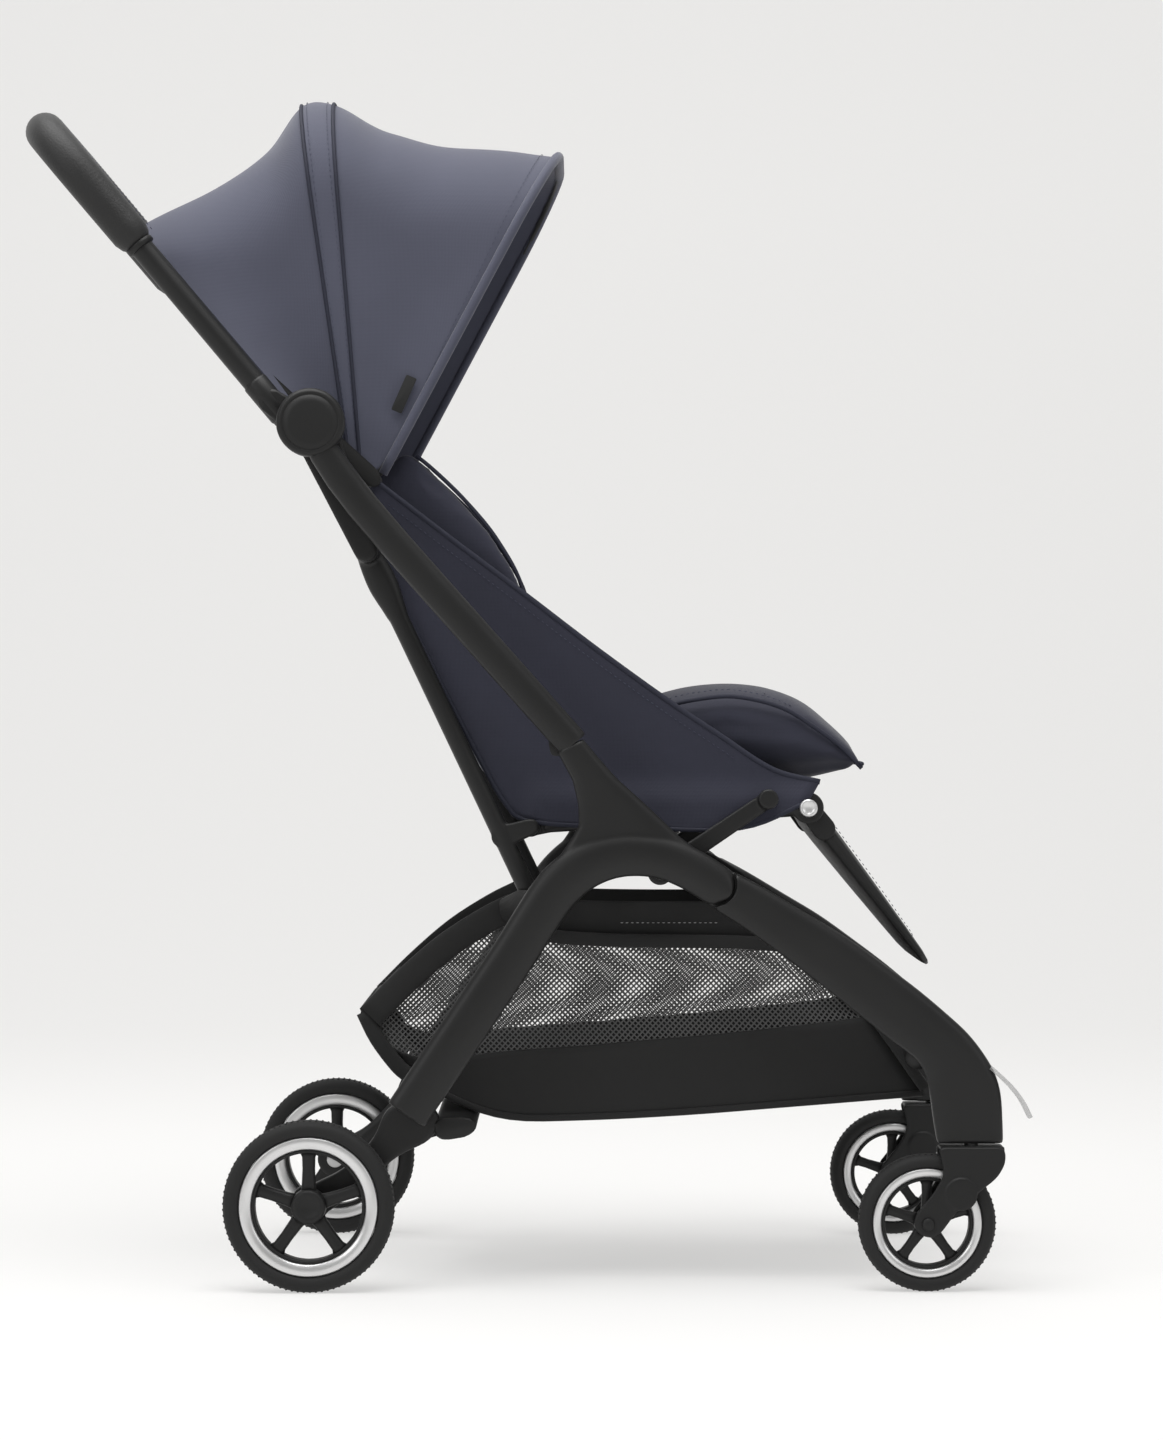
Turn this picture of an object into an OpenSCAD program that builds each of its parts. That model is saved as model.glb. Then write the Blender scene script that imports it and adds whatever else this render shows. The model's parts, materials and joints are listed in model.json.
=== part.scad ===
// Compact travel stroller, open, facing +X. Origin on the floor, midway along and across.
// Side view: X forward, Z up. Left is +Y. Every left piece is mirrored for the right.

/* [Overall] */
// Width over the outer faces of the wheels
frame_w = 450; // [410:2:600]
// Height of the main folding hinge above the floor
main_hinge_z = 477; // [470:1:483]
// Distance of the main folding hinge ahead of the origin
main_hinge_x = 39.4; // [36:0.2:43]

/* [Frame tubes] */
// Length from the main hinge to the handle elbow
upper_tube_len = 357; // [330:1:400]
// Direction of the elbow seen from the main hinge, in degrees above forward
upper_tube_angle = 127.4; // [124:0.2:130]
// Depth of the upper tube in side view
upper_tube_d = 30; // [24:1:31]
// Width of the legs, hubs and upper tubes across the stroller
frame_tube_w = 20; // [14:1:22]
// Depth of the rear leg in side view
rear_leg_d = 40; // [32:1:42]
// Depth of the front leg at its hinge
front_leg_d = 38; // [32:1:40]
// Slope of the front leg below forward, in degrees
front_leg_slope = 34; // [32:0.5:36]
// Radius of the outer bend of the front leg
knee_r = 61; // [54:1:62]
// Radius of the handle elbow housing
elbow_r = 30; // [27:0.5:33]
// Radius of the lower strut tube
strut_r = 8.5; // [6:0.5:9]

/* [Handle] */
// Length of the handle from the elbow to its cross bar
handle_len = 359; // [330:1:420]
// Direction of the handle in degrees above forward
handle_angle = 130; // [128:0.5:132]
// Distance of the handle tube behind the elbow axis
handle_offset = 15; // [14:0.5:18]
// Radius of the bare handle tube
handle_r = 10.5; // [8:0.5:11]
// Radius of the padded grip
grip_r = 17.5; // [13:0.5:18]
// Length of padded grip on each side tube
grip_len = 138; // [112:1:150]
// Bend radius at the two top corners of the handle
handle_bend = 60; // [45:1:80]

/* [Wheels] */
// Rear wheel diameter
rear_wheel_d = 150; // [126:1:160]
// Front wheel diameter
front_wheel_d = 120; // [100:1:130]
// Width of a rear tyre
rear_tyre_w = 26; // [20:1:28]
// Width of a front tyre
front_tyre_w = 24; // [18:1:25]
// Number of spokes in each wheel
spoke_count = 5; // [3:1:7]
// Distance of the rear axle behind the origin
rear_axle_x = 178.5; // [165:0.5:190]
// Distance of the front swivel axis ahead of the origin
swivel_x = 401.5; // [395:0.5:410]
// Distance of the front axle behind its swivel axis
caster_trail = 39; // [30:1:42]

/* [Seat] */
// Length of the seat rails
seat_len = 212; // [190:1:225]
// Slope of the seat rails, rising forward, in degrees
seat_slope = 6.7; // [3:0.1:9]
// Radius of the seat rail tube
rail_r = 7; // [5:0.5:7]
// Thickness of the seat cushion behind its raised front
cushion_h = 40; // [25:1:50]
// Height of the raised front of the seat cushion
cushion_front_h = 92; // [70:1:96]
// Length of the leg rest board
leg_rest_len = 170; // [120:1:170]
// Thickness of the backrest pad
back_t = 22; // [14:1:26]
// How far the side wings of the backrest stand forward of the lower struts
wing_depth = 108; // [80:1:112]

/* [Canopy] */
// Reach of the front canopy bow from its pivot
canopy_reach = 338; // [300:1:345]
// Radius of the canopy bow rod
bow_r = 3.5; // [2.5:0.5:4]
// Radius of the upper corners of the canopy
canopy_corner = 95; // [60:1:120]
// Wall of the canopy fabric
fabric_t = 2.5; // [1.5:0.5:3]

/* [Folding] */
// Turn of the upper tubes from open to folded, in degrees
fold_turn = 106.5; // [100:0.5:108]
// Turn of the handle on the upper tubes over the same fold
handle_turn = -173.5; // [-176:0.5:-168]
// Turn of the lower struts on the rear legs over the same fold
strut_turn = 103.6; // [98:0.1:106]
// Turn of the seat rails on the lower struts over the same fold
seat_turn = -57.6; // [-62:0.1:-52]

/* [Fits] */
// Clearance between faces that pass each other
face_gap = 1; // [0.5:0.1:2]
// Radial clearance of a turning pin in its bore
pin_gap = 0.1; // [0.05:0.05:0.3]

/* [Hidden] */
$fn = 48;

// ---- side view geometry ----
function polar(p, a, l) = [p[0] + l * cos(a), p[1] + l * sin(a)];
function turn(a, v) = [v[0] * cos(a) - v[1] * sin(a), v[0] * sin(a) + v[1] * cos(a)];
function direction(p, q) = atan2(q[1] - p[1], q[0] - p[0]);

// The one point, fixed to two turning bodies, that meets itself again after the fold.
// Body 1 turns by t1 about c1 while c1 itself moves to c1_end; body 2 turns by t2 about c2.
function meeting_point(c1, c1_end, t1, c2, t2) =
    let (m = [cos(t1) - cos(t2), -(sin(t1) - sin(t2))],
        n = [sin(t1) - sin(t2), cos(t1) - cos(t2)],
        rhs = c2 - turn(t2, c2) - c1_end + turn(t1, c1),
        det = m[0] * n[1] - m[1] * n[0])
    [(rhs[0] * n[1] - m[1] * rhs[1]) / det, (m[0] * rhs[1] - n[0] * rhs[0]) / det];

main_hinge = [main_hinge_x, main_hinge_z];
elbow = polar(main_hinge, upper_tube_angle, upper_tube_len);
elbow_folded = main_hinge + turn(fold_turn, elbow - main_hinge);
strut_foot = main_hinge + [-16.1, -150.7];
strut_top = meeting_point(elbow, elbow_folded, fold_turn + handle_turn, strut_foot, strut_turn);
strut_angle = direction(strut_foot, strut_top);
front_hinge = main_hinge + [136.9, -120.4];

seat_hinge = polar(strut_foot, 96, 79.2);
seat_hinge_folded = strut_foot + turn(strut_turn, seat_hinge - strut_foot);
seat_front = polar(seat_hinge, seat_slope, seat_len);
seat_front_folded = seat_hinge_folded + turn(strut_turn + seat_turn, seat_front - seat_hinge);
// The rocker foot is as far from the seat front when open as when folded
rocker_mid = (seat_front + seat_front_folded) / 2;
rocker_foot = polar(rocker_mid, direction(seat_front, seat_front_folded) + 90, 87);
leg_hinge = polar(seat_hinge, seat_slope - 2.8, 247);

handle_foot = polar(elbow, handle_angle + 90, handle_offset);
handle_top = polar(handle_foot, handle_angle, handle_len);
bow_pivot = elbow + [52.5, -47.2];
mid_bow_angle = 97;
front_bow_angle = 60.3;

rear_axle = [-rear_axle_x, rear_wheel_d / 2];
front_axle = [swivel_x - caster_trail, front_wheel_d / 2];
rear_leg_top = main_hinge + [-39, -183];
rear_leg_foot = rear_leg_top + [-94, -140];
knee = [swivel_x - 33.5, 180];
fork_top_z = 128;

// ---- layers across the stroller, left side ----
leg_y = frame_w / 2 - 21;
leg_in = leg_y - frame_tube_w / 2;
leg_out = leg_y + frame_tube_w / 2;
handle_y = leg_in - face_gap - handle_r - 1;
strut_y = leg_in - face_gap - 18 - strut_r;
strut_in = strut_y - strut_r;
rail_y = strut_in - face_gap - rail_r;
rail_in = rail_y - rail_r;
front_bow_y = strut_in - face_gap - 8 - bow_r;
mid_bow_y = front_bow_y - 2 * bow_r - face_gap - 1;
cushion_y = rail_in - 2;
wheel_y = frame_w / 2 - rear_tyre_w / 2;

// ---- building blocks ----
module both_sides() { children(); mirror([0, 1, 0]) children(); }
module right_side() { mirror([0, 1, 0]) children(); }
// A disc or round pin across the stroller
module disc(p, r, y0, y1) {
    translate([p[0], y0, p[1]]) rotate([-90, 0, 0]) cylinder(h = y1 - y0, r = r);
}
// A flat plate whose outline is drawn in the side view
module plate(y0, y1) {
    translate([0, y1, 0]) rotate([90, 0, 0]) linear_extrude(y1 - y0) children();
}
module spot(p, r) { translate(p) circle(r); }
// A bar with flat ends between two points of the side view, as an outline
module strip(p, q, w, w_end) {
    a = direction(p, q) + 90;
    polygon([polar(p, a, w / 2), polar(p, a, -w / 2), polar(q, a, -w_end / 2), polar(q, a, w_end / 2)]);
}
// The same as an oval tube: depth in side view, width across
module oval_tube(p, q, depth, width, y) {
    translate([p[0], y, p[1]]) rotate([0, 90 - direction(p, q), 0]) linear_extrude(norm(q - p)) {
        oval(depth, width);
    }
}
module oval(depth, width) {
    flat = depth - width;
    if (flat > 0) {
        square([flat, width], center = true);
        translate([flat / 2, 0]) circle(width / 2);
        translate([-flat / 2, 0]) circle(width / 2);
    } else circle(depth / 2);
}
module round_tube(p, q, r, y) {
    translate([p[0], y, p[1]]) rotate([0, 90 - direction(p, q), 0]) cylinder(h = norm(q - p), r = r);
}
// Straight round bar across the stroller between y0 and y1
module cross_rod(p, r, y) { disc(p, r, -y, y); }

// ---- rear frame ----
lap_r = 13;
front_lap_r = front_leg_d / 2 + 1;
upper_axis_dir = 131.7;
upper_seam = main_hinge + [13.9, 1] + [0.67, -0.75] * 1;

module hub_outline() {
    top_l = polar(upper_seam, upper_axis_dir + 90, upper_tube_d / 2);
    top_r = polar(upper_seam, upper_axis_dir - 90, upper_tube_d / 2);
    arch_r = polar(front_hinge, 55.5, front_leg_d / 2 - 1);
    arch_l = polar(front_hinge, 235.5, front_leg_d / 2 - 1);
    leg_a = direction(rear_leg_foot, rear_leg_top);
    polygon([top_l, main_hinge + [18, -40], main_hinge + [18.5, -72], main_hinge + [-10, -104],
        polar(rear_leg_top, leg_a + 90, rear_leg_d / 2), polar(rear_leg_top, leg_a - 90, rear_leg_d / 2),
        rear_leg_top + [32, 40], rear_leg_top + [44, 58], rear_leg_top + [62, 68],
        rear_leg_top + [100, 70], rear_leg_top + [126, 63], arch_l, arch_r,
        front_hinge + [-24, 40], front_hinge + [-58, 70], front_hinge + [-86, 99], top_r]);
}
module hub_left() {
    color("dimgray") difference() {
        union() {
            plate(leg_in, leg_out) hub_outline();
            disc(main_hinge, lap_r - 2, leg_y + 0.2, leg_out);
            disc(front_hinge, front_lap_r - 2, leg_y + 0.2, leg_out);
            // pins of the strut and of the seat rocker reach inwards
            disc(strut_foot, 5, strut_in, leg_in);
            disc(rocker_foot, 5, strut_in, leg_in);
        }
        disc(main_hinge, lap_r, leg_in - 1, leg_y + 0.2);
        disc(front_hinge, front_lap_r + 4, leg_in - 1, leg_y + 0.2);
    }
    // hinge pins, fixed in the hub
    color("silver") {
        disc(main_hinge, 4, leg_in - 1, leg_y + 0.2);
        disc(front_hinge, 6, leg_in - 1, leg_y + 0.2);
    }
}
module hub_right() right_side() hub_left();

module rear_leg_left() {
    color("dimgray") oval_tube(rear_leg_top, rear_leg_foot, rear_leg_d, frame_tube_w, leg_y);
}
module rear_leg_right() right_side() rear_leg_left();

module hub_crossbar() {
    color("dimgray") cross_rod(main_hinge + [58, -99], 8, leg_in);
}
module rear_crossbar() {
    p = rear_leg_foot + [38, -12];
    color("dimgray") {
        plate(-leg_in, leg_in) {
            strip(p + [-12, -2], p + [16, 1], 20, 18);
            spot(p + [16, 1], 9);
        }
        // sockets on the inner faces of the two legs
        both_sides() disc(rear_leg_foot + [14, 12], 9, leg_in - 12, leg_in);
        // arms that join the bar to its sockets
        both_sides() plate(leg_in - 12, leg_in) strip(rear_leg_foot + [14, 12], p + [0, -1], 18, 18);
    }
}
bracket_in = leg_in - 16;
module wheel_bracket_left() {
    color("darkslategray") difference() {
        plate(bracket_in, leg_in) {
            difference() {
                strip(rear_leg_foot + [-6, 8], rear_axle, 38, 30);
                spot(rear_leg_foot + [14, 12], 9.5);
            }
            spot(rear_axle, 17);
        }
        disc(rear_axle, 5, bracket_in - 1, leg_in + 1);
    }
}
module wheel_bracket_right() right_side() wheel_bracket_left();
module rear_axles() {
    color("silver") both_sides() {
        disc(rear_axle, 5, bracket_in - 3, frame_w / 2 - 3);
        disc(rear_axle, 8, bracket_in - 5, bracket_in);
    }
}
// Fabric basket, open at the top, hung between the legs
basket_y = strut_in - 14;
module basket() {
    color("slategray") difference() {
        plate(-basket_y, basket_y) polygon(basket_outline(0));
        plate(-basket_y + 4, basket_y - 4) polygon(basket_outline(4));
    }
}
function basket_outline(wall) = let (b = rear_leg_top) [
    b + [-22 + wall, 36 - 8 * wall / 4 + (wall > 0 ? 40 : 0)],
    b + [-139 + wall * 1.4, -45 + wall / 2], b + [-106 + wall, -100 + wall],
    b + [-8, -146 + wall], b + [200, -131 + wall],
    b + [345 - wall, -116 + wall], b + [318 - wall * 1.4, -76],
    b + [232, 6 + (wall > 0 ? 40 : 0)], b + [60, 6 + (wall > 0 ? 40 : 0)]];

// ---- wheels ----
module tyre(p, y, r, w, thick) {
    translate([p[0], y, p[1]]) rotate([-90, 0, 0]) rotate_extrude() difference() {
        intersection() {
            translate([r - thick, -w / 2]) square([thick, w]);
            translate([r - thick - 3, 0]) scale(1) circle(thick + 3);
        }
        // groove that seats on the ring
        translate([r - thick - 1, -w / 2 + 6]) square([3, w - 12]);
    }
}
module wheel_ring(p, y, r, w, thick) {
    translate([p[0], y, p[1]]) rotate([-90, 0, 0]) rotate_extrude() union() {
        translate([r - thick, -w / 2 + 2]) square([thick, w - 4]);
        translate([r - 1, -w / 2 + 6]) square([3, w - 12]);
    }
}
module spoked_hub(p, y, r, w, hub_r, bore_r) {
    color("dimgray") translate([p[0], y, p[1]]) rotate([-90, 0, 0]) difference() {
        union() {
            cylinder(h = w, r = hub_r, center = true);
            for (i = [0 : spoke_count - 1]) rotate(i * 360 / spoke_count + 90) {
                translate([0, -6, -w / 2 + 5]) cube([r - 1.5, 12, w - 10]);
            }
            difference() {
                cylinder(h = w - 6, r = r, center = true);
                cylinder(h = w, r = r - 3, center = true);
            }
        }
        cylinder(h = w + 2, r = bore_r, center = true);
    }
}
rear_ring_r = rear_wheel_d / 2 - 14;
front_ring_r = front_wheel_d / 2 - 12;
module rear_tyre_left() { color("black") tyre(rear_axle, wheel_y, rear_wheel_d / 2, rear_tyre_w, 14); }
module rear_ring_left() { color("silver") wheel_ring(rear_axle, wheel_y, rear_ring_r, rear_tyre_w, 11); }
module rear_spokes_left() spoked_hub(rear_axle, wheel_y, rear_ring_r - 11, rear_tyre_w, 15, 5 + pin_gap);
module rear_tyre_right() right_side() rear_tyre_left();
module rear_ring_right() right_side() rear_ring_left();
module rear_spokes_right() right_side() rear_spokes_left();
module front_tyre_left() { color("black") tyre(front_axle, leg_y, front_wheel_d / 2, front_tyre_w, 12); }
module front_ring_left() { color("silver") wheel_ring(front_axle, leg_y, front_ring_r, front_tyre_w, 8); }
module front_spokes_left() spoked_hub(front_axle, leg_y, front_ring_r - 8, front_tyre_w, 11, 4 + pin_gap);
module front_tyre_right() right_side() front_tyre_left();
module front_ring_right() right_side() front_ring_left();
module front_spokes_right() right_side() front_spokes_left();

// ---- brake pedal, pressed down with the foot ----
brake_axis = rear_leg_foot + [38, -27.5];
module brake_pedal() {
    color("darkslategray") {
        disc(brake_axis, 4, -60, 60);
        plate(-38, 38) {
            strip(brake_axis + [-2, 0], brake_axis + [-42, -9], 6, 9);
            spot(brake_axis + [-42, -9], 4.5);
        }
    }
}

// ---- front frame ----
function arc(c, r, a0, a1, n) = [for (i = [0 : n]) polar(c, a0 + (a1 - a0) * i / n, r)];
module front_leg_outline() {
    start = polar(front_hinge, 90 - front_leg_slope, front_leg_d / 2);
    // where the straight upper edge runs into the outer bend
    touch = direction(knee, start) - acos(knee_r / norm(start - knee));
    polygon(concat([start], arc(knee, knee_r, touch, 0, 8),
        [[knee[0] + knee_r, fork_top_z + face_gap], [knee[0] + knee_r - 60, fork_top_z + face_gap],
         [knee[0] - 7, knee[1] + 8], polar(front_hinge, -90 - front_leg_slope, front_leg_d / 2)],
        // the round eye on the far side of the hinge, in the same outline so the leg is one solid
        arc(front_hinge, front_leg_d / 2 - 0.5, -90 - front_leg_slope, -270 - front_leg_slope, 24)));
}
module front_leg_left() {
    color("dimgray") difference() {
        plate(leg_in, leg_out) front_leg_outline();
        disc(front_hinge, front_lap_r + 4, leg_y, leg_out + 1);
        disc(front_hinge, 6 + pin_gap, leg_in - 1, leg_out);
        translate([swivel_x, leg_y, fork_top_z]) cylinder(h = 34, r = 6 + pin_gap);
    }
}
module front_leg_right() right_side() front_leg_left();
module front_crossbar() {
    color("dimgray") cross_rod(knee + [-12, 24], 9, leg_in);
}

// ---- front casters ----
module fork_left() {
    arm_in = front_tyre_w / 2 + 2;
    color("darkslategray") {
        difference() {
            union() {
                for (s = [-1, 1]) plate(leg_y + s * (arm_in + 2) - 2, leg_y + s * (arm_in + 2) + 2) {
                    polygon([[swivel_x - 29, fork_top_z], [swivel_x + 29, fork_top_z],
                        [swivel_x + 26, 96], polar(front_axle, -40, 12), polar(front_axle, 130, 12)]);
                    spot(front_axle, 12);
                }
                translate([swivel_x - 29, leg_y - arm_in, fork_top_z - 5]) cube([58, 2 * arm_in, 5]);
            }
            disc(front_axle, 4, leg_y - 30, leg_y + 30);
        }
        translate([swivel_x, leg_y, fork_top_z - 1]) cylinder(h = 34, r = 6);
    }
    color("silver") disc(front_axle, 4, leg_y - arm_in - 5, leg_y + arm_in + 5);
}
module fork_right() right_side() fork_left();

// ---- upper frame ----
upper_tube_top = polar(elbow, upper_axis_dir + 180, elbow_r - 3);
module upper_tube_left() {
    tube_end = upper_seam + [cos(upper_axis_dir), sin(upper_axis_dir)] * 1;
    reach = norm(elbow - main_hinge) - elbow_r - 10;
    color("dimgray") difference() {
        union() {
            difference() {
                oval_tube(tube_end, polar(tube_end, upper_axis_dir, reach), upper_tube_d,
                    frame_tube_w - 1, leg_y);
                disc(main_hinge, lap_r + 0.5, leg_y - 0.4, leg_out + 1);
                disc(elbow, elbow_r, leg_in - 1, leg_out + 2);
            }
            disc(main_hinge, lap_r - 2, leg_in + 1.5, leg_y - 0.4);
        }
        disc(main_hinge, 4 + pin_gap, leg_in - 1, leg_out);
    }
}
module upper_tube_right() right_side() upper_tube_left();
module elbow_housing_left() {
    color("darkslategray") {
        disc(elbow, elbow_r, leg_in, leg_out + 1);
        disc(elbow, elbow_r - 4, leg_out + 1, leg_out + 2.5);
        // elbow pin, carries the handle
        disc(elbow, 6, leg_in - 17, leg_in);
    }
}
module elbow_housing_right() right_side() elbow_housing_left();

// ---- handle ----
// Everything between these two lengths of the bent handle tube, as a solid of radius r
module handle_path(r, from) {
    run = handle_len - handle_bend;
    half = handle_y - handle_bend;
    translate([handle_foot[0], 0, handle_foot[1]]) rotate([0, 90 - handle_angle, 0]) {
        both_sides() {
            translate([0, handle_y, from]) cylinder(h = run - from, r = r);
            translate([0, half, run]) rotate([90, 0, 90]) rotate_extrude(angle = 90) {
                translate([handle_bend, 0]) circle(r);
            }
        }
        translate([0, -half, handle_len]) rotate([-90, 0, 0]) cylinder(h = 2 * half, r = r);
    }
}
grip_from = handle_len - handle_bend - (grip_len - handle_bend);
module handlebar() {
    color("dimgray") difference() {
        handle_path(handle_r, 10);
        both_sides() disc(elbow, elbow_r - 2, leg_in - 20, leg_in);
    }
}
module grip() {
    color("black") difference() {
        handle_path(grip_r, grip_from);
        handle_path(handle_r, grip_from - 20);
    }
}
plate_out = leg_in - face_gap;
module elbow_plate_left() {
    color("darkslategray") difference() {
        union() {
            disc(elbow, elbow_r - 2, plate_out - 15, plate_out);
            plate(plate_out - 6, plate_out) {
                strip(elbow, strut_top, 36, 22);
                spot(strut_top, 11);
            }
            // rivet head of the strut joint
            disc(strut_top, 5, plate_out - 8, plate_out - 6);
        }
        disc(elbow, 6 + pin_gap, plate_out - 20, plate_out + 1);
    }
}
module elbow_plate_right() right_side() elbow_plate_left();
// Brackets from the handle tube down to the canopy pivots
mount_out = strut_in - face_gap;
module canopy_mounts() {
    lug = polar(handle_foot, handle_angle, 90);
    color("darkslategray") both_sides() {
        plate(mount_out - 5, mount_out) {
            strip(lug, bow_pivot, 16, 16);
            spot(lug, 8);
            spot(bow_pivot, 8);
        }
        difference() {
            disc(lug, 7, mount_out, handle_y - 2);
            round_tube(handle_foot, handle_top, handle_r, handle_y);
        }
        disc(bow_pivot, 3, mid_bow_y - bow_r - 2, mount_out - 5);
    }
}
module release_housing() {
    p = polar(handle_foot, handle_angle, handle_len - 12);
    color("black") difference() {
        translate([p[0], 0, p[1]]) rotate([0, 90 - handle_angle, 0]) {
            translate([-25, -22, -14]) cube([22, 44, 24]);
        }
        handle_path(grip_r, grip_from);
        release_slot(0.4, 5);
    }
}
// The button, or with a gap and a depth the slot that it slides in
module release_slot(gap, depth) {
    p = polar(handle_foot, handle_angle, handle_len - 12);
    translate([p[0], 0, p[1]]) rotate([0, 90 - handle_angle, 0]) {
        translate([-26, -12 - gap, -8 - gap]) cube([6 + depth, 24 + 2 * gap, 12 + 2 * gap]);
    }
}
module fold_button() {
    color("silver") release_slot(0, 0);
}
// Fabric back of the head end, hung between the handle tubes
module head_panel() {
    a = polar(handle_foot, handle_angle, 84);
    color("slategray") plate(-mid_bow_y + 8, mid_bow_y - 8) {
        strip(a, elbow + [-17, 5], 10, 10);
        strip(elbow + [-17, 5], strut_top + [-4, 14], 10, 10);
        spot(elbow + [-17, 5], 5);
    }
}

// ---- lower struts and backrest ----
module lower_strut_left() {
    shoulder = polar(strut_foot, strut_angle, norm(strut_top - strut_foot) - 40);
    color("dimgray") difference() {
        union() {
            round_tube(strut_foot, strut_top, strut_r, strut_y);
            disc(strut_top, 11, strut_in + 1, strut_y + strut_r - 1);
            disc(strut_foot, 11, strut_in + 1, strut_y + strut_r - 1);
            // seat hinge lug and its pin
            plate(strut_in + 1, strut_y) strip(polar(strut_foot, strut_angle, 78), seat_hinge, 18, 14);
            disc(seat_hinge, 7, strut_in + 1, strut_y);
            disc(seat_hinge, 4, rail_y - rail_r, strut_in + 1);
        }
        disc(strut_foot, 5 + pin_gap, strut_in - 1, leg_in);
        disc(strut_top, 5, plate_out - 9, plate_out);
    }
}
module lower_strut_right() right_side() lower_strut_left();
back_y = rail_in - 4;
// A point given along the lower strut and in front of it
function on_strut(along, ahead) = polar(polar(strut_foot, strut_angle, along), strut_angle - 90, ahead);
module backrest() {
    front = 10 + back_t;
    color("slategray") {
        plate(-back_y, back_y) {
            strip(on_strut(125, 10 + back_t / 2), on_strut(345, 10 + back_t / 2), back_t, back_t);
            spot(on_strut(345, 10 + back_t / 2), back_t / 2);
        }
        // side wings
        both_sides() plate(back_y - 20, back_y) polygon([
            on_strut(160, front - 6), on_strut(220, wing_depth - 12), on_strut(270, wing_depth),
            on_strut(330, wing_depth - 2), on_strut(395, wing_depth - 28), on_strut(345, front - 6)]);
    }
}
module side_panel_left() {
    n = strut_angle - 90;
    color("slategray") plate(rail_y - 1.5, rail_y + 1.5) polygon([
        polar(bow_pivot, n - 60, 14), polar(seat_hinge, 60, 26),
        polar(seat_front, seat_slope + 90, rail_r + 6), seat_front + [22, 12], seat_front + [-12, 56]]);
}
module side_panel_right() right_side() side_panel_left();

// ---- seat ----
module seat_rail_left() {
    color("dimgray") difference() {
        union() {
            round_tube(polar(seat_hinge, seat_slope, 12), leg_hinge, rail_r, rail_y);
            plate(rail_y - 3, rail_y + 3) {
                strip(seat_hinge, polar(seat_hinge, seat_slope, 20), 18, 13);
                spot(seat_hinge, 9);
                spot(leg_hinge, 9);
            }
            // pin end, one layer inside the rocker
            disc(seat_front, 4, rail_y, strut_in);
        }
        disc(seat_hinge, 4 + pin_gap, rail_y - 20, rail_y + 20);
        disc(leg_hinge, 4 + pin_gap, rail_y - 20, rail_y + 20);
    }
}
module seat_rail_right() right_side() seat_rail_left();
module seat_crossbars() {
    color("dimgray") {
        cross_rod(polar(polar(leg_hinge, seat_slope + 180, 34), seat_slope - 90, 1), 5, rail_in);
        cross_rod(polar(polar(seat_hinge, seat_slope, 40), seat_slope - 90, 1), 5, rail_in);
    }
}
module seat_pan() {
    color("darkslategray") plate(-cushion_y, cushion_y) {
        strip(polar(polar(seat_hinge, seat_slope, 30), seat_slope + 90, 8),
            polar(polar(seat_hinge, seat_slope, 250), seat_slope + 90, 8), 4, 4);
    }
}
// A point given along the seat rail and above it
function on_seat(u, v) = polar(polar(seat_hinge, seat_slope, u), seat_slope + 90, v);
module seat_cushion() {
    color("slategray") plate(-cushion_y + 2, cushion_y - 2) polygon([
        on_seat(34, 11), on_seat(238, 13), on_seat(238, cushion_front_h - 8),
        on_seat(192, 10 + cushion_front_h), on_seat(132, 10 + cushion_front_h),
        on_seat(70, 18 + cushion_h), on_seat(34, 10 + cushion_h)]);
}
// The padded flap that hangs over the front edge of the seat
module front_edge_roll() {
    color("slategray") plate(-cushion_y + 6, cushion_y - 6) polygon([
        on_seat(239, 16), on_seat(288, 15), on_seat(300, 21), on_seat(278, 50),
        on_seat(239, cushion_front_h - 10)]);
}
module harness_buckle() {
    p = on_seat(96, 0);
    color("black") translate([p[0], 0, p[1]]) rotate([0, -seat_slope, 0]) {
        translate([-14, -20, cushion_front_h + 14]) cube([28, 40, 11]);
    }
}
module seat_rocker_left() {
    color("gray") difference() {
        plate(strut_in + 1, strut_y + strut_r) {
            strip(rocker_foot, seat_front, 15, 15);
            spot(rocker_foot, 11);
            spot(seat_front, 9);
        }
        disc(rocker_foot, 5 + pin_gap, strut_in - 1, leg_in);
    }
}
module seat_rocker_right() right_side() seat_rocker_left();
leg_rest_dir = -52.2;
module leg_rest() {
    tip = polar(leg_hinge, leg_rest_dir, leg_rest_len);
    color("darkslategray") {
        difference() {
            plate(-rail_in + 1, rail_in - 1) difference() {
                strip(polar(leg_hinge, leg_rest_dir, 20), tip, 20, 9);
                spot(leg_hinge, 10);
            }
        }
        // side ears carry the hinge pins
        both_sides() {
            plate(rail_in - 7, rail_in - 1) {
                spot(leg_hinge, 9);
                strip(leg_hinge, polar(leg_hinge, leg_rest_dir, 22), 18, 20);
            }
            disc(leg_hinge, 4, rail_in - 1, rail_y + rail_r + 2);
        }
    }
}
module leg_rest_buttons() {
    color("silver") both_sides() disc(leg_hinge, 8, rail_y + rail_r + 2, rail_y + rail_r + 6);
}

// ---- canopy ----
// A hoop from the pivot out to its reach, standing at an angle of the side view
module hoop(a, y, reach, r) {
    run = reach - canopy_corner;
    half = y - canopy_corner;
    translate([bow_pivot[0], 0, bow_pivot[1]]) rotate([0, 90 - a, 0]) difference() {
        union() {
            both_sides() {
                translate([0, y, 0]) cylinder(h = run, r = r);
                translate([0, half, run]) rotate([90, 0, 90]) rotate_extrude(angle = 90) {
                    translate([canopy_corner, 0]) circle(r);
                }
                translate([0, y - r + 0.5, 0]) rotate([-90, 0, 0]) cylinder(h = 2 * r - 1, r = 7);
            }
            translate([0, -half, reach]) rotate([-90, 0, 0]) cylinder(h = 2 * half, r = r);
        }
        both_sides() translate([0, y - 10, 0]) rotate([-90, 0, 0]) cylinder(h = 20, r = 3 + pin_gap);
    }
}
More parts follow.
